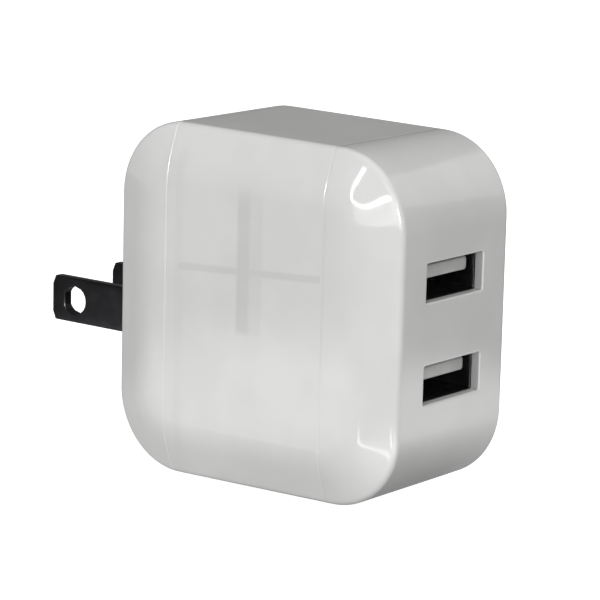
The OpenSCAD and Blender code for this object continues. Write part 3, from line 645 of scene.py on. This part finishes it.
def front_cap():
    """Two shell surfaces, outside and inside, joined by the lip and by the two port openings."""
    half_x, half_z = (v / MM for v in PORT_HALF)
    block = (half_x + 0.85, half_z + 0.35)
    near = lines(np.linspace(0, half_x - 0.35, 6), [half_x - 0.1, half_x + 0.15, half_x + 0.45],
                 [block[0]], [v / MM for v in (SHELL_HALF[0], SHELL_HALF[0] + STEP)],
                 [v / MM for v in (POCKET_X, POCKET_X + STEP)])
    wide = both_sides(np.concatenate([near, np.array([8.7, 9.9, 10.7, 11.0, 11.1]) * MM]))
    tight = both_sides(np.concatenate([near, np.array([8.3, 8.8, 9.3, 9.6, 9.79]) * MM]))
    rows = [np.linspace(-FRONT_Z, FRONT_Z, 23) / MM]
    for port_z in PORTS.values():
        offsets = [0, 0.8, 1.6, half_z - 0.3, half_z - 0.12, half_z + 0.05, half_z + 0.2, block[1]]
        rows += [port_z / MM + np.array([s * v for v in offsets for s in (-1, 1)])]
        rows += [stepped([port_z + s * v for v in LEDGE for s in (-1, 1)])]
    middle = (PORTS["upper"] + PORTS["lower"]) / 2
    rows += [stepped([middle - POCKET_Z, middle + POCKET_Z])]
    face_z = lines(*rows)
    face_z = face_z[np.abs(face_z) <= FRONT_Z + STEP]
    rim = FRONT_SEAM - FRONT_SHARE * CHAMFER
    last = math.pi / 2 - DRAFT
    outer = shell_surface(0, EDGE_ROUND, wide, face_z, rim, FRONT_Z, last)
    inner = shell_surface(WALL, INNER_ROUND, tight, face_z, rim, FRONT_Z, last)
    flat = (np.abs(inner[..., 2]) <= FRONT_Z) & (np.abs(inner[..., 0]) <= tight[-1])
    flat &= inner[..., 1] < WALL + STEP
    inner[..., 1] = np.where(flat, front_inside(inner[..., 0], inner[..., 2]), inner[..., 1])
    patches, blocks = [], []
    for port_z in PORTS.values():
        where = block_at(outer, (-block[0] * MM, block[0] * MM),
                         (port_z - block[1] * MM, port_z + block[1] * MM))
        blocks.append(where)
        ring = opening(block_edge(outer, *where), block_edge(inner, *where),
                       np.array([0, port_z]), PORT_HALF, PORT_CORNER, PORT_RIM,
                       lambda x, z: 0 * x, front_inside)
        patches.append((to_front(ring), False, True, None))
    for surface in (outer, inner):
        patches.append((to_front(surface), False, False, cells(surface, blocks)))
    patches.append((to_front(lip_rows(outer, inner, FRONT_SEAM, FRONT_SHARE)), False, True, None))
    return make_piece("front_cap_shell", patches, "charger", casing)


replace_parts(front_cap(), "front_cap")


# ---------- rear housing ----------

CRADLE_X = retainer_box[1].x - 0.1 * MM
CRADLE_Z = (retainer_box[0].z, SLOT_HIGH + 0.75 * MM)
FACE_TOP = 19.5 * MM


def scoop(x, z):
    """Depth of the finger scoop: a cylinder lying across both slots, its ends sloped and every
    edge blended."""
    across = np.sqrt(np.clip(SCOOP_RADIUS ** 2 - (z - SCOOP_Z) ** 2, 0, None))
    round_floor = across - (SCOOP_RADIUS - SCOOP_DEPTH)
    end_slope = (SCOOP_HALF - np.abs(x)) * 1.8
    depth = smooth_min(round_floor, end_slope, 1.0 * MM)
    return np.maximum(smooth_max(depth, 0.0, 0.35 * MM), 0)


def rear_face(z, inset):
    """e of the wall end's outline at a height z: flat, then round its corner."""
    up = np.clip(np.abs(z) - REAR_Z, 0, None)
    return CORNER - np.sqrt(np.clip((CORNER - inset) ** 2 - up ** 2, 0, None))


def rear_outside(x, z):
    return rear_face(z, 0) + scoop(x, z)


def rear_inside(x, z):
    """Depth of the rear wall's inner face, and of the cradle block that carries the spindle: flat
    at the pivot's depth with a half-round bearing groove across it."""
    depth = rear_face(z, WALL)
    block = (np.abs(x) <= CRADLE_X) & (z >= CRADLE_Z[0]) & (z <= CRADLE_Z[1])
    groove = np.sqrt(np.clip(GROOVE_RADIUS ** 2 - (z - PIVOT.z) ** 2, 0, None))
    groove = np.where(np.abs(x) <= GROOVE_HALF, groove, 0)
    return np.where(block, np.maximum(PIVOT_DEPTH - groove, depth), depth)


def rear_housing():
    """Two shell surfaces joined by the lip and by the two prong slots, with the finger scoop in
    the outer one and the spindle's cradle in the inner one."""
    half_x, half_z = (v / MM for v in SLOT_HALF)
    centre = PRONG_X / MM
    reach = 0.45
    across = [0, half_x - 0.5, half_x - 0.25, half_x, half_x + 0.25, half_x + reach]
    near = lines(np.linspace(0, centre - half_x - reach, 9),
                 [centre + s * v for v in across for s in (-1, 1)],
                 np.linspace(centre + half_x + reach, GROOVE_HALF / MM, 5),
                 stepped([GROOVE_HALF]), stepped([CRADLE_X]))
    wide = both_sides(np.concatenate([near, np.array([10.3, 10.9, 11.1]) * MM]))
    tight = both_sides(np.concatenate([near, np.array([9.74, 9.77, 9.79]) * MM]))
    turns = np.linspace(-math.pi / 2, math.pi / 2, 15)
    ends = [half_z - 0.5, half_z - 0.25, half_z, half_z + 0.25, half_z + reach]
    face_z = lines(np.linspace(-FACE_TOP, SLOT_LOW - 1.6 * MM, 15) / MM,
                   [SLOT_Z / MM + s * v for v in ends for s in (-1, 1)],
                   (PIVOT.z + GROOVE_RADIUS * np.sin(turns)) / MM,
                   np.linspace(SLOT_LOW + 0.9 * MM, PIVOT.z - GROOVE_RADIUS, 3) / MM,
                   np.linspace(PIVOT.z + GROOVE_RADIUS, SCOOP_Z - 6 * MM, 9) / MM,
                   np.linspace(SCOOP_Z - 5.6 * MM, SLOT_HIGH - 0.6 * MM, 27) / MM,
                   stepped(CRADLE_Z), np.linspace(CRADLE_Z[1] + 0.3 * MM, FACE_TOP, 5) / MM)
    rim = REAR_SEAM - CHAMFER
    last = math.pi / 2 + DRAFT
    outer = shell_surface(0, EDGE_ROUND, wide, face_z, rim, REAR_Z, last)
    inner = shell_surface(WALL, INNER_ROUND, tight, face_z, rim, REAR_Z, last)
    for surface, strap, depth in ((outer, wide, rear_outside), (inner, tight, rear_inside)):
        x, e, z = (surface[..., i] for i in range(3))
        flat = (np.abs(x) <= strap[-1] + STEP) & (np.abs(z) <= FACE_TOP + STEP) & (e < 4 * MM)
        surface[..., 1] = np.where(flat, depth(x, z), e)
    patches, blocks = [], []
    for side in (-1, 1):
        x_range = [side * centre * MM + s * (half_x + reach) * MM for s in (-1, 1)]
        z_range = [SLOT_Z + s * (half_z + reach) * MM for s in (-1, 1)]
        where = block_at(outer, x_range, z_range)
        blocks.append(where)
        ring = opening(block_edge(outer, *where), block_edge(inner, *where),
                       np.array([side * PRONG_X, SLOT_Z]), SLOT_HALF, SLOT_CORNER, SLOT_RIM,
                       rear_outside, rear_inside)
        patches.append((to_rear(ring), False, True, None))
    for surface in (outer, inner):
        patches.append((to_rear(surface), False, False, cells(surface, blocks)))
    patches.append((to_rear(lip_rows(outer, inner, REAR_SEAM)), False, True, None))
    return make_piece("rear_housing_shell", patches, "charger", casing)


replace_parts(rear_housing(), "rear_housing")


# ---------- centre sleeve ----------

RIB = 0.5 * MM
LEVEL_RIB = (5.4 * MM, 6.2 * MM)
UPRIGHT_RIB = ((21.65 * MM, 25.15 * MM), (-2.5 * MM, 17 * MM))


def side_z(e, inset):
    """Height of the outline above the middle at a distance e from the wall face: the tapered side,
    and the rear corner's arc where that is lower."""
    radius = CORNER - inset
    last = math.pi / 2 - DRAFT
    from_front = DEPTH - e
    start_e = CORNER - radius * math.cos(last)
    line = FRONT_Z + radius * math.sin(last) + (from_front - start_e) / math.tan(last)
    arc = REAR_Z + np.sqrt(np.clip(radius ** 2 - np.clip(CORNER - e, 0, None) ** 2, 0, None))
    return np.where(e < CORNER, np.minimum(line, arc), line)


def sleeve_loop(e, base, rounding, strap_x, flat_shares):
    """The sleeve's section at a distance e from the wall face, as a closed loop of points: side
    face, rounded edge and band, broad face, and the same on the other three quarters."""
    inset, side_x = profile(base, rounding)
    edge_z = side_z(e, base)
    band_z = side_z(e, inset)
    right = [(side_x, band_z), (None, flat_shares[::-1] * band_z[-1]), (side_x[::-1], -band_z[::-1])]
    xs, zs = [strap_x], [np.full(len(strap_x), edge_z)]
    for sign in (1, -1):
        for x, z in right:
            if x is None:
                x = EDGE_X - base + crown(edge_z - np.abs(z))
            xs.append(sign * (x if sign > 0 else x[::-1]))
            zs.append(z if sign > 0 else z[::-1])
        if sign > 0:
            xs.append(strap_x[::-1])
            zs.append(np.full(len(strap_x), -edge_z))
    x, z = np.concatenate(xs), np.concatenate(zs)
    return xez(x, e, z)


def centre_sleeve():
    """A tube: its section is carried from the front seam to the rear seam on the outside and back
    on the inside, with a rebate at each end for the shells' lips, and two ribs inside each broad
    wall."""
    wide = both_sides(np.array([0, 3, 6, 8.5, 10, 10.8, 11.1]) * MM)
    tight = both_sides(np.array([0, 3, 6, 8, 9, 9.6, 9.79]) * MM)
    rib_lines = np.array([v for pair in (LEVEL_RIB, UPRIGHT_RIB[1][:1]) for v in pair])
    flat_z = lines(np.linspace(-14, 14, 33), rib_lines / MM, rib_lines / MM + STEP / MM)
    shares = flat_z / (14.5 * MM)
    reach = LIP + 0.1 * MM
    front, rear = DEPTH - FRONT_SEAM, REAR_SEAM
    chamfer, groove = FRONT_SHARE * CHAMFER, FRONT_SHARE * GROOVE
    rows = [(front, groove), (front - 0.6 * chamfer, 0.4 * groove), (front - chamfer, 0)]
    rows += [(e, 0) for e in np.linspace(front - 2 * CHAMFER, rear + 2 * CHAMFER, 21)]
    rows += [(rear + CHAMFER, 0), (rear + 0.6 * CHAMFER, 0.4 * GROOVE), (rear, GROOVE),
             (rear, REBATE), (rear + reach, REBATE), (rear + reach, WALL)]
    bars = [rear + reach + 1 * MM, front - reach - 1 * MM, *UPRIGHT_RIB[0]]
    inside = lines(np.linspace(rear + reach + 0.5 * MM, front - reach - 0.5 * MM, 17) / MM,
                   stepped(bars))
    rows += [(e, WALL) for e in inside]
    rows += [(front - reach, WALL), (front - reach, REBATE), (front, REBATE)]
    loops = []
    for e, depth in rows:
        outer = sleeve_loop(e, 0, EDGE_ROUND, wide, shares)
        inner = sleeve_loop(e, WALL, INNER_ROUND, tight, shares)
        share = depth / WALL
        loops.append(outer * (1 - share) + inner * share)
    points = np.stack(loops)
    x, e, z = (points[..., i] for i in range(3))
    level = (z >= LEVEL_RIB[0]) & (z <= LEVEL_RIB[1]) & (e > bars[0]) & (e <= bars[1])
    upright = (z >= UPRIGHT_RIB[1][0]) & (z <= UPRIGHT_RIB[1][1])
    upright &= (e > UPRIGHT_RIB[0][0]) & (e <= UPRIGHT_RIB[0][1])
    ribbed = (level | upright) & (np.array([d for _, d in rows]) == WALL)[:, None]
    ribbed &= np.abs(x) > EDGE_X - WALL + 1.2 * MM
    points[..., 0] = np.where(ribbed, x - np.sign(x) * RIB, x)
    return make_piece("centre_sleeve_shell", [(to_rear(points), True, True, None)],
                      "charger", casing)


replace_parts(centre_sleeve(), "centre_sleeve")


def board_rail(sign):
    """Rail that holds one edge of the main board: a U-shaped section, carried along the depth."""
    board_low, board_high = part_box("main_board")
    lip, slack, grip = 0.8 * MM, 0.1 * MM, 0.5 * MM
    x0, x1 = board_low.x - slack, board_high.x + slack
    tip, floor, root = board_high.z - grip, board_high.z + slack, board_high.z + 2.9 * MM
    section = np.array([(x0 - lip, root), (x0 - lip, tip), (x0, tip), (x0, floor),
                        (x1, floor), (x1, tip), (x1 + 0.2 * MM, tip), (x1 + lip, floor),
                        (x1 + lip * 0.6, floor + 1.2 * MM), (x1, root)])
    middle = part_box("optocoupler")
    centre = (middle[0].y + middle[1].y) / 2 + 1 * MM
    ys = centre + np.array([-4, -2, 0, 2, 4]) * MM
    points = np.stack([xez(section[:, 0], y, sign * section[:, 1]) for y in ys])
    name = "board_rail_top" if sign > 0 else "board_rail_bottom"
    return make_piece(name, [(points, False, True, None)], "charger", casing,
                      ends=[points[0], points[-1]])


for rail_sign in (1, -1):
    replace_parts(board_rail(rail_sign), "centre_sleeve")


# ---------- prongs ----------

PRONG_EDGE = 0.25 * MM      # rounding of a prong's edges
TIP_CUT = (0.5 * MM, 1.2 * MM)
HOLE_EDGE = 0.12 * MM
CORE_RADIUS = 1.12 * MM


def arc(centre, radius, first, last, count):
    """Points and outward normals on an arc in y and z, between two angles in degrees."""
    angle = np.radians(np.linspace(first, last, count))
    normal = np.stack([np.cos(angle), np.sin(angle)], -1)
    return np.array(centre) + radius * normal, normal


def blade_outline():
    """Foot points and normals of a prong's outline; the outline is the foot plus the rounding
    times the normal. The hub's half circle, then the straight edges with the tip's cut corners,
    each corner a small arc between the normals of the sides that meet there."""
    pivot = np.array([PIVOT.y, PIVOT.z])
    cut_y, cut_z = TIP_CUT
    corners = np.array([(PRONG_TIP - cut_y, -PRONG_HALF), (PRONG_TIP, -PRONG_HALF + cut_z),
                        (PRONG_TIP, PRONG_HALF - cut_z), (PRONG_TIP - cut_y, PRONG_HALF)])
    corners[:, 1] += PIVOT.z
    lean = math.degrees(math.atan2(cut_y, cut_z))
    sides = [-90, -lean, 0, lean, 90]
    foot, normal = arc(pivot, PRONG_HALF - PRONG_EDGE, 90, 270, 33)
    feet, normals = [foot], [normal]
    middle_y = np.linspace(PIVOT.y, PRONG_TIP - cut_y, 12)[1:-1]
    low = np.stack([middle_y, np.full(10, PIVOT.z - PRONG_HALF + PRONG_EDGE)], -1)
    feet.append(low)
    normals.append(np.tile([0.0, -1.0], (10, 1)))
    for corner, first, second in zip(corners, sides[:-1], sides[1:]):
        a, b = (np.array([math.cos(math.radians(s)), math.sin(math.radians(s))])
                for s in (first, second))
        base = corner - PRONG_EDGE * (a + b) / (1 + a @ b)
        _, turn = arc(base, 1, first, second, 4)
        feet.append(np.tile(base, (4, 1)))
        normals.append(turn)
    feet.append(low[::-1] + np.array([0, 2 * (PRONG_HALF - PRONG_EDGE)]))
    normals.append(np.tile([0.0, 1.0], (10, 1)))
    return np.concatenate(feet), np.concatenate(normals)


def loop_around(centre, loop, radius):
    """For each point of a loop, the point of a circle on the line from the circle's centre."""
    away = loop - centre
    return centre + radius * away / np.linalg.norm(away, axis=1, keepdims=True)


def prong(side):
    """A flat blade: the rounded rim is carried round the outline, and each flat is two ring grids,
    one from the tip hole and one from the spindle's hole, out to the rim and to the line halfway
    between them. The walls of both holes close the shape."""
    foot, normal = blade_outline()
    half = PRONG_THICK / 2
    flat = half - PRONG_EDGE
    turns = np.linspace(0, math.pi, 9)
    rim = np.stack([np.column_stack([np.full(len(foot), flat * np.sign(math.cos(t))
                                             + PRONG_EDGE * math.cos(t)),
                                     foot + normal * PRONG_EDGE * math.sin(t)]) for t in turns])
    hole = np.array([HOLE["pos_m"][1], HOLE["pos_m"][2]])
    pivot = np.array([PIVOT.y, PIVOT.z])
    split = (hole[0] + pivot[0]) / 2
    seam_z = np.linspace(-1, 1, 13)[1:-1] * (PRONG_HALF - PRONG_EDGE) + PIVOT.z
    nearest = np.argmin(np.abs(foot[:, 0] - split) + 10 * (foot[:, 1] > PIVOT.z))
    other = np.argmin(np.abs(foot[:, 0] - split) + 10 * (foot[:, 1] < PIVOT.z))
    seam = np.stack([np.full(len(seam_z), foot[nearest, 0]), seam_z], -1)
    tip_part = foot[nearest:other + 1]
    hub_part = np.concatenate([foot[other:], foot[:nearest + 1]])
    patches = [(rim, False, True, None)]
    for centre, radius, loop in ((hole, HOLE["dims"]["r_mm"] * MM,
                                  np.concatenate([tip_part, seam[::-1]])),
                                 (pivot, CORE_RADIUS, np.concatenate([hub_part, seam]))):
        lip = loop_around(centre, loop, radius + HOLE_EDGE)
        wall = loop_around(centre, loop, radius)
        rows = [(loop, half), (lip * 0.6 + loop * 0.4, half), (lip, half),
                (wall, half - HOLE_EDGE), (wall, 0), (wall, HOLE_EDGE - half), (lip, -half),
                (lip * 0.6 + loop * 0.4, -half), (loop, -half)]
        grid = np.stack([np.column_stack([np.full(len(p), x), p]) for p, x in rows])
        patches.append((grid, False, True, None))
    place = np.array([side * PRONG_X, 0, 0])
    patches = [(p + place, a, b, c) for p, a, b, c in patches]
    name = "prong_blade_left" if side < 0 else "prong_blade_right"
    return make_piece(name, patches, "prongs", prong_metal)


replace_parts(prong(-1), "prong_left")
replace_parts(prong(1), "prong_right")


# ---------- receptacles ----------

def box_ring(half_x, half_z, corner, centre_z, y):
    """A rectangle with rounded corners, across the depth, as a closed ring of points: four quarter
    arcs, each followed by points along the straight side to the next."""
    angle = np.radians(np.linspace([0, 90, 180, 270], [90, 180, 270, 360], 6).T)
    away = np.stack([np.cos(angle), np.sin(angle)], -1)
    quarter = np.array([(1, 1), (-1, 1), (-1, -1), (1, -1)])[:, None]
    arcs = quarter * (np.array([half_x, half_z]) - corner) + corner * away
    gap = np.roll(arcs[:, :1], -1, 0) - arcs[:, -1:]
    sides = arcs[:, -1:] + gap * np.linspace(0, 1, 10)[1:-1, None]
    x, z = np.concatenate([arcs, sides], 1).reshape(-1, 2).T
    return xez(x, y, z + centre_z)


SHEET = 0.3 * MM
SPRING_X = 2.8 * MM
SPRING_RISE = 0.35 * MM


def spring_bumps(points, centre_z, front):
    """Raises two round spring fingers on the floor and two on the roof inside a shell: each is a
    smooth hump, longer along the depth."""
    x, y, z = (points[..., i] for i in range(3))
    hump = 0
    for sign in (-1, 1):
        reach = ((x - sign * SPRING_X) / (0.75 * MM)) ** 2
        reach = reach + ((y - front - 2.1 * MM) / (0.9 * MM)) ** 2
        hump = hump + np.clip(1 - reach, 0, 1) ** 0.75 * SPRING_RISE
    moved = points.copy()
    level = np.abs(z - centre_z) > SHELL_HALF[1] - SHEET - 0.05 * MM
    moved[..., 2] = np.where(level, z - np.sign(z - centre_z) * hump, z)
    return moved


def receptacle_shell(name):
    """Folded sheet metal: a rounded rectangle carried along the depth on the outside and back on
    the inside, with a rounded front lip and spring fingers pressed into floor and roof."""
    centre_z = PORTS[name]
    low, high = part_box("usb_shell_" + name)
    front, rear = low.y, high.y
    half_x, half_z = SHELL_HALF
    lip = SHEET / 2
    rows = []
    for turn in np.linspace(0, math.pi, 7):
        offset = lip - lip * math.cos(turn)
        rows.append(box_ring(half_x - offset, half_z - offset, 0.6 * MM - offset * 0.8, centre_z,
                             front + lip - lip * math.sin(turn)))
    inside = [box_ring(half_x - SHEET, half_z - SHEET, 0.36 * MM, centre_z, y)
              for y in np.linspace(front + 0.6 * MM, rear - 0.3 * MM, 30)]
    inside = [spring_bumps(ring, centre_z, front) for ring in inside]
    rows += inside
    rows.append(box_ring(half_x - SHEET, half_z - SHEET, 0.36 * MM, centre_z, rear))
    rows += [box_ring(half_x, half_z, 0.6 * MM, centre_z, y)
             for y in np.linspace(rear, front + 0.6 * MM, 9)]
    return make_piece("receptacle_shell_" + name, [(np.stack(rows), True, True, None)],
                      "charger", port_metal)


def receptacle_tongue(name):
    """Insulator: a block at the rear and the tongue in front of it, as rings across the depth. The
    tongue's nose is rounded and its corners are cut."""
    centre_z = PORTS[name]
    low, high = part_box("usb_insulator_" + name)
    block_front = high.y - 1.8 * MM
    tip_y = low.y - 0.3 * MM
    rise, thick, half = 0.06 * MM, 1.84 * MM, 5.55 * MM
    middle = centre_z + rise + thick / 2
    rings = [box_ring(high.x, high.z - centre_z, 0.3 * MM, centre_z, high.y),
             box_ring(high.x, high.z - centre_z, 0.3 * MM, centre_z, high.y - 0.9 * MM),
             box_ring(high.x, high.z - centre_z, 0.3 * MM, centre_z, block_front),
             box_ring(half, thick / 2, 0.2 * MM, middle, block_front)]
    for y in np.linspace(block_front, tip_y + 1 * MM, 6)[1:]:
        rings.append(box_ring(half, thick / 2, 0.2 * MM, middle, y))
    nose = 0.3 * MM
    for turn in np.linspace(0, math.pi / 2, 6):
        back = nose * (1 - math.sin(turn))
        pull = nose * (1 - math.cos(turn))
        cut = 0.3 * MM * (1 - back / (1 * MM))
        rings.append(box_ring(half - cut - pull, thick / 2 - pull,
                              0.45 * MM - 0.4 * pull, middle, tip_y + back))
    grid = np.stack(rings)
    return make_piece("receptacle_tongue_" + name, [(grid, False, True, None)], "charger",
                      tongue_plastic, ends=[grid[0], grid[-1]])


for port_name in PORTS:
    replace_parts(receptacle_shell(port_name), "usb_shell_" + port_name)
    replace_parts(receptacle_tongue(port_name), "usb_insulator_" + port_name)


# ---------- studio ----------

def stage_surface(name, points, material):
    """A surface of the studio, seen by the camera and in reflections only."""
    mesh = bpy.data.meshes.new(name)
    rows, columns = points.shape[:2]
    mesh.from_pydata(points.reshape(-1, 3), [], grid_quads(rows, columns).reshape(-1, 4).tolist())
    mesh.polygons.foreach_set("use_smooth", np.ones(len(mesh.polygons), bool))
    mesh.materials.append(material)
    surface = bpy.data.objects.new(name, mesh)
    bpy.context.scene.collection.objects.link(surface)
    surface.visible_diffuse = False
    return surface


def paper(name, glow, shade):
    """Matt white studio paper that glows a little, as when it is lit from behind."""
    material, tree, shader, place = start(name, Roughness=0.9, Specular_IOR_Level=0.0,
                                          Emission_Strength=glow,
                                          Emission_Color=(1.0, 1.0, 1.0, 1.0))
    _, cloud = mottle(tree, place, 0.4, 0.0, 1.0, 1.0)
    tone = add(tree, "Mix", cloud, sockets={6: linear(shade), 7: linear("#FFFFFF")},
               data_type="RGBA")[2]
    tree.links.new(tone, shader.inputs["Base Color"])
    return material


FLOOR_SIZE = 1.5
FLOOR_Z = -HALF_HEIGHT
across = np.linspace(-FLOOR_SIZE, FLOOR_SIZE, 9)
floor_x, floor_y = np.meshgrid(across, across)
floor = stage_surface("floor", xez(floor_x, floor_y, FLOOR_Z),
                      paper("floor_paper", 0.9, "#F8F8F8"))
floor.visible_glossy = False
turn, rise = np.meshgrid(np.linspace(0, 2 * math.pi, 49), np.linspace(-0.05, math.pi / 2, 25))
dome = stage_surface("backdrop", xez(FLOOR_SIZE * np.cos(rise) * np.cos(turn),
                                     FLOOR_SIZE * np.cos(rise) * np.sin(turn),
                                     FLOOR_SIZE * np.sin(rise)),
                     paper("backdrop_paper", 1.0, "#F4F4F4"))
dome.visible_shadow = False
dome.visible_glossy = False
middle_point = Vector((0, -DEPTH / 2, 0))

ROOM_LIGHT = 0.154
world = bpy.data.worlds.new("studio")
world.use_nodes = True
world.node_tree.nodes["Background"].inputs["Color"].default_value = (1, 1, 1, 1)
world.node_tree.nodes["Background"].inputs["Strength"].default_value = ROOM_LIGHT
bpy.context.scene.world = world


def softbox(name, direction, distance, size, power):
    """A rectangular soft light that looks at the middle of the casing from a direction."""
    light = bpy.data.lights.new(name, "AREA")
    light.shape = "RECTANGLE"
    light.size, light.size_y = size
    light.energy = power
    lamp = bpy.data.objects.new(name, light)
    towards = Vector(direction).normalized()
    lamp.rotation_euler = towards.to_track_quat("Z", "Y").to_euler()
    lamp.location = middle_point + towards * distance
    bpy.context.scene.collection.objects.link(lamp)
    return lamp


softbox("key", (-0.80, -0.57, 0.16), 0.75, (0.9, 0.7), 4.228)
softbox("overhead", (-0.05, -0.15, 1.0), 0.8, (0.9, 0.7), 2.052)
softbox("low_left", (-0.95, -0.2, 0.1), 0.5, (0.5, 0.14), 0.516)
softbox("far_side", (1.0, -0.3, 0.35), 0.75, (0.5, 0.5), 0.671)
softbox("wall_side", (-0.35, 1.0, 0.3), 0.75, (0.5, 0.5), 0.4)


def glow(name, strength):
    """Emitting film, bright with a slight fall-off in patches: a lamp's diffusing film where only reflections see
    it, and painted light on the floor where the camera sees it.
    """
    material, tree, shader, place = start(name, Base_Color=(0, 0, 0, 1), Specular_IOR_Level=0.0,
                                          Emission_Color=(1, 1, 1, 1))
    patchy, _ = mottle(tree, place, 0.05, strength * 0.9, strength * 1.1, 1.0)
    tree.links.new(patchy, shader.inputs["Emission Strength"])
    return material


def floor_glow(dim, pools):
    """What the casing mirrors of the floor: dim paper with soft pools of light on it, each given
    by its centre, radius and brightness."""
    material, tree, shader, place = start("lit_floor_glow", Base_Color=(0, 0, 0, 1),
                                          Specular_IOR_Level=0.0,
                                          Emission_Color=(1, 1, 1, 1))
    total = dim
    for x, y, radius, bright in pools:
        away = add(tree, "VectorMath", place, (x, y, FLOOR_Z), operation="DISTANCE")["Value"]
        pool = add(tree, "MapRange", away, 0.3 * radius, 1.5 * radius, bright, 0.0,
                   interpolation_type="SMOOTHSTEP")[0]
        total = add(tree, "Math", pool, total, operation="ADD")[0]
    tree.links.new(total, shader.inputs["Emission Strength"])
    return material


def ribbon(name, middle, across_way, widths, material, camera_sees):
    """A band of light: a path of points, widened to both sides along across_way."""
    path = np.array(middle)
    side = np.array(across_way) * np.array(widths)[:, None] / 2
    surface = stage_surface(name, np.stack([path - side, path, path + side], 1), material)
    surface.visible_camera = camera_sees
    surface.visible_shadow = False
    return surface


def seen_from(corner, azimuths, elevations, distance):
    """Points at a distance from a corner, by azimuth from -X towards +Y and elevation."""
    a, e = np.radians(azimuths), np.radians(elevations)
    way = np.stack([-np.cos(e) * np.cos(a), np.cos(e) * np.sin(a), np.sin(e)], -1)
    return np.array(corner) + distance * way


POOLS = [(-0.062, 0.008, 0.045, 2.1), (-0.033, -0.062, 0.022, 4.0), (0.04, -0.078, 0.035, 2.0)]
mirrored_floor = stage_surface("mirrored_floor", xez(floor_x, floor_y, FLOOR_Z + 0.02 * MM),
                               floor_glow(0.3, POOLS))
mirrored_floor.visible_camera = False
mirrored_floor.visible_shadow = False

# Two bright edges of a window frame, mirrored in the upper front corner's band
WINDOW_FROM = (-EDGE_X - CROWN / 2, -DEPTH + 6 * MM, HALF_HEIGHT - 6 * MM)
WINDOW_FAR = 0.5
upright_edge = seen_from(WINDOW_FROM, [20.5, 18, 18, 17.8], [24, 21.9, 18.8, 11.5], WINDOW_FAR)
sill = seen_from(WINDOW_FROM, [18.2, 12.0, 6.1, 2, -3], [11.6, 9.0, 9.5, 10.1, 10.5], WINDOW_FAR)
frame_glow = glow("window_frame_glow", 26.0)
ribbon("window_edge", upright_edge, (0.3, 0.95, 0), [0.0095, 0.0105, 0.0125, 0.014],
       frame_glow, False)
ribbon("window_sill", sill, (0, 0, 1), [0.015, 0.016, 0.018, 0.019, 0.020], frame_glow, False)

# The far part of the same window, mirrored as a glint and a bead on the front edge
glint_glow = glow("window_glint_glow", 70.0)
glint = seen_from(WINDOW_FROM, [-40] * 4, [16, 13, 8, 4], WINDOW_FAR)
ribbon("window_glint", glint, (0.64, -0.77, 0), [0.10, 0.14, 0.07, 0.05], glint_glow, False)
bead = seen_from(WINDOW_FROM, [-52] * 2, [25, 28], WINDOW_FAR)
ribbon("window_bead", bead, (0.64, -0.77, 0), [0.05, 0.05], glint_glow, False)

# Patches of light that the glossy casing throws on the floor beside it
patch_glow = glow("floor_patch_glow", 7.0)
patch_x = -np.array([66, 54, 43, 37.5, 36, 33, 27]) * MM
patch_y = -np.array([37.3, 38, 39, 43.2, 46.4, 47.3, 48]) * MM
ribbon("floor_patch", xez(patch_x, patch_y, FLOOR_Z + 0.05 * MM), (0.45, 0.9, 0),
       np.array([0.5, 1.8, 2.6, 3.2, 3.2, 2.4, 1.6]) * MM, patch_glow, True)
streak_x = -np.array([60, 50, 40]) * MM
ribbon("floor_streak", xez(streak_x, -51 * MM, FLOOR_Z + 0.05 * MM), (0, 1, 0),
       [1.2 * MM] * 3, glow("floor_streak_glow", 14.0), True)

AZIMUTH = math.radians(-52.57)
ELEVATION = math.radians(11.63)
ROLL = math.radians(1.42)
CAMERA_DISTANCE = 414.5 * MM
AIM = (-1.43 * MM, 0.07 * MM)    # aim point beside the casing's middle: to the right and up

look = Vector((-math.sin(AZIMUTH) * math.cos(ELEVATION), math.cos(AZIMUTH) * math.cos(ELEVATION),
               -math.sin(ELEVATION)))
level_right = Vector((math.cos(AZIMUTH), math.sin(AZIMUTH), 0))
level_up = level_right.cross(look)
right = level_right * math.cos(ROLL) + level_up * math.sin(ROLL)
up = level_up * math.cos(ROLL) - level_right * math.sin(ROLL)
eye = middle_point + right * AIM[0] + up * AIM[1] - look * CAMERA_DISTANCE
lens = bpy.data.cameras.new("camera")
lens.sensor_width = 36
lens.lens = 184.7
lens.clip_start, lens.clip_end = 0.01, 10
camera = bpy.data.objects.new("camera", lens)
camera.matrix_world = Matrix((
    (right.x, up.x, -look.x, eye.x),
    (right.y, up.y, -look.y, eye.y),
    (right.z, up.z, -look.z, eye.z),
    (0, 0, 0, 1)))
bpy.context.scene.collection.objects.link(camera)
bpy.context.scene.camera = camera
bpy.context.scene.view_settings.view_transform = "Standard"
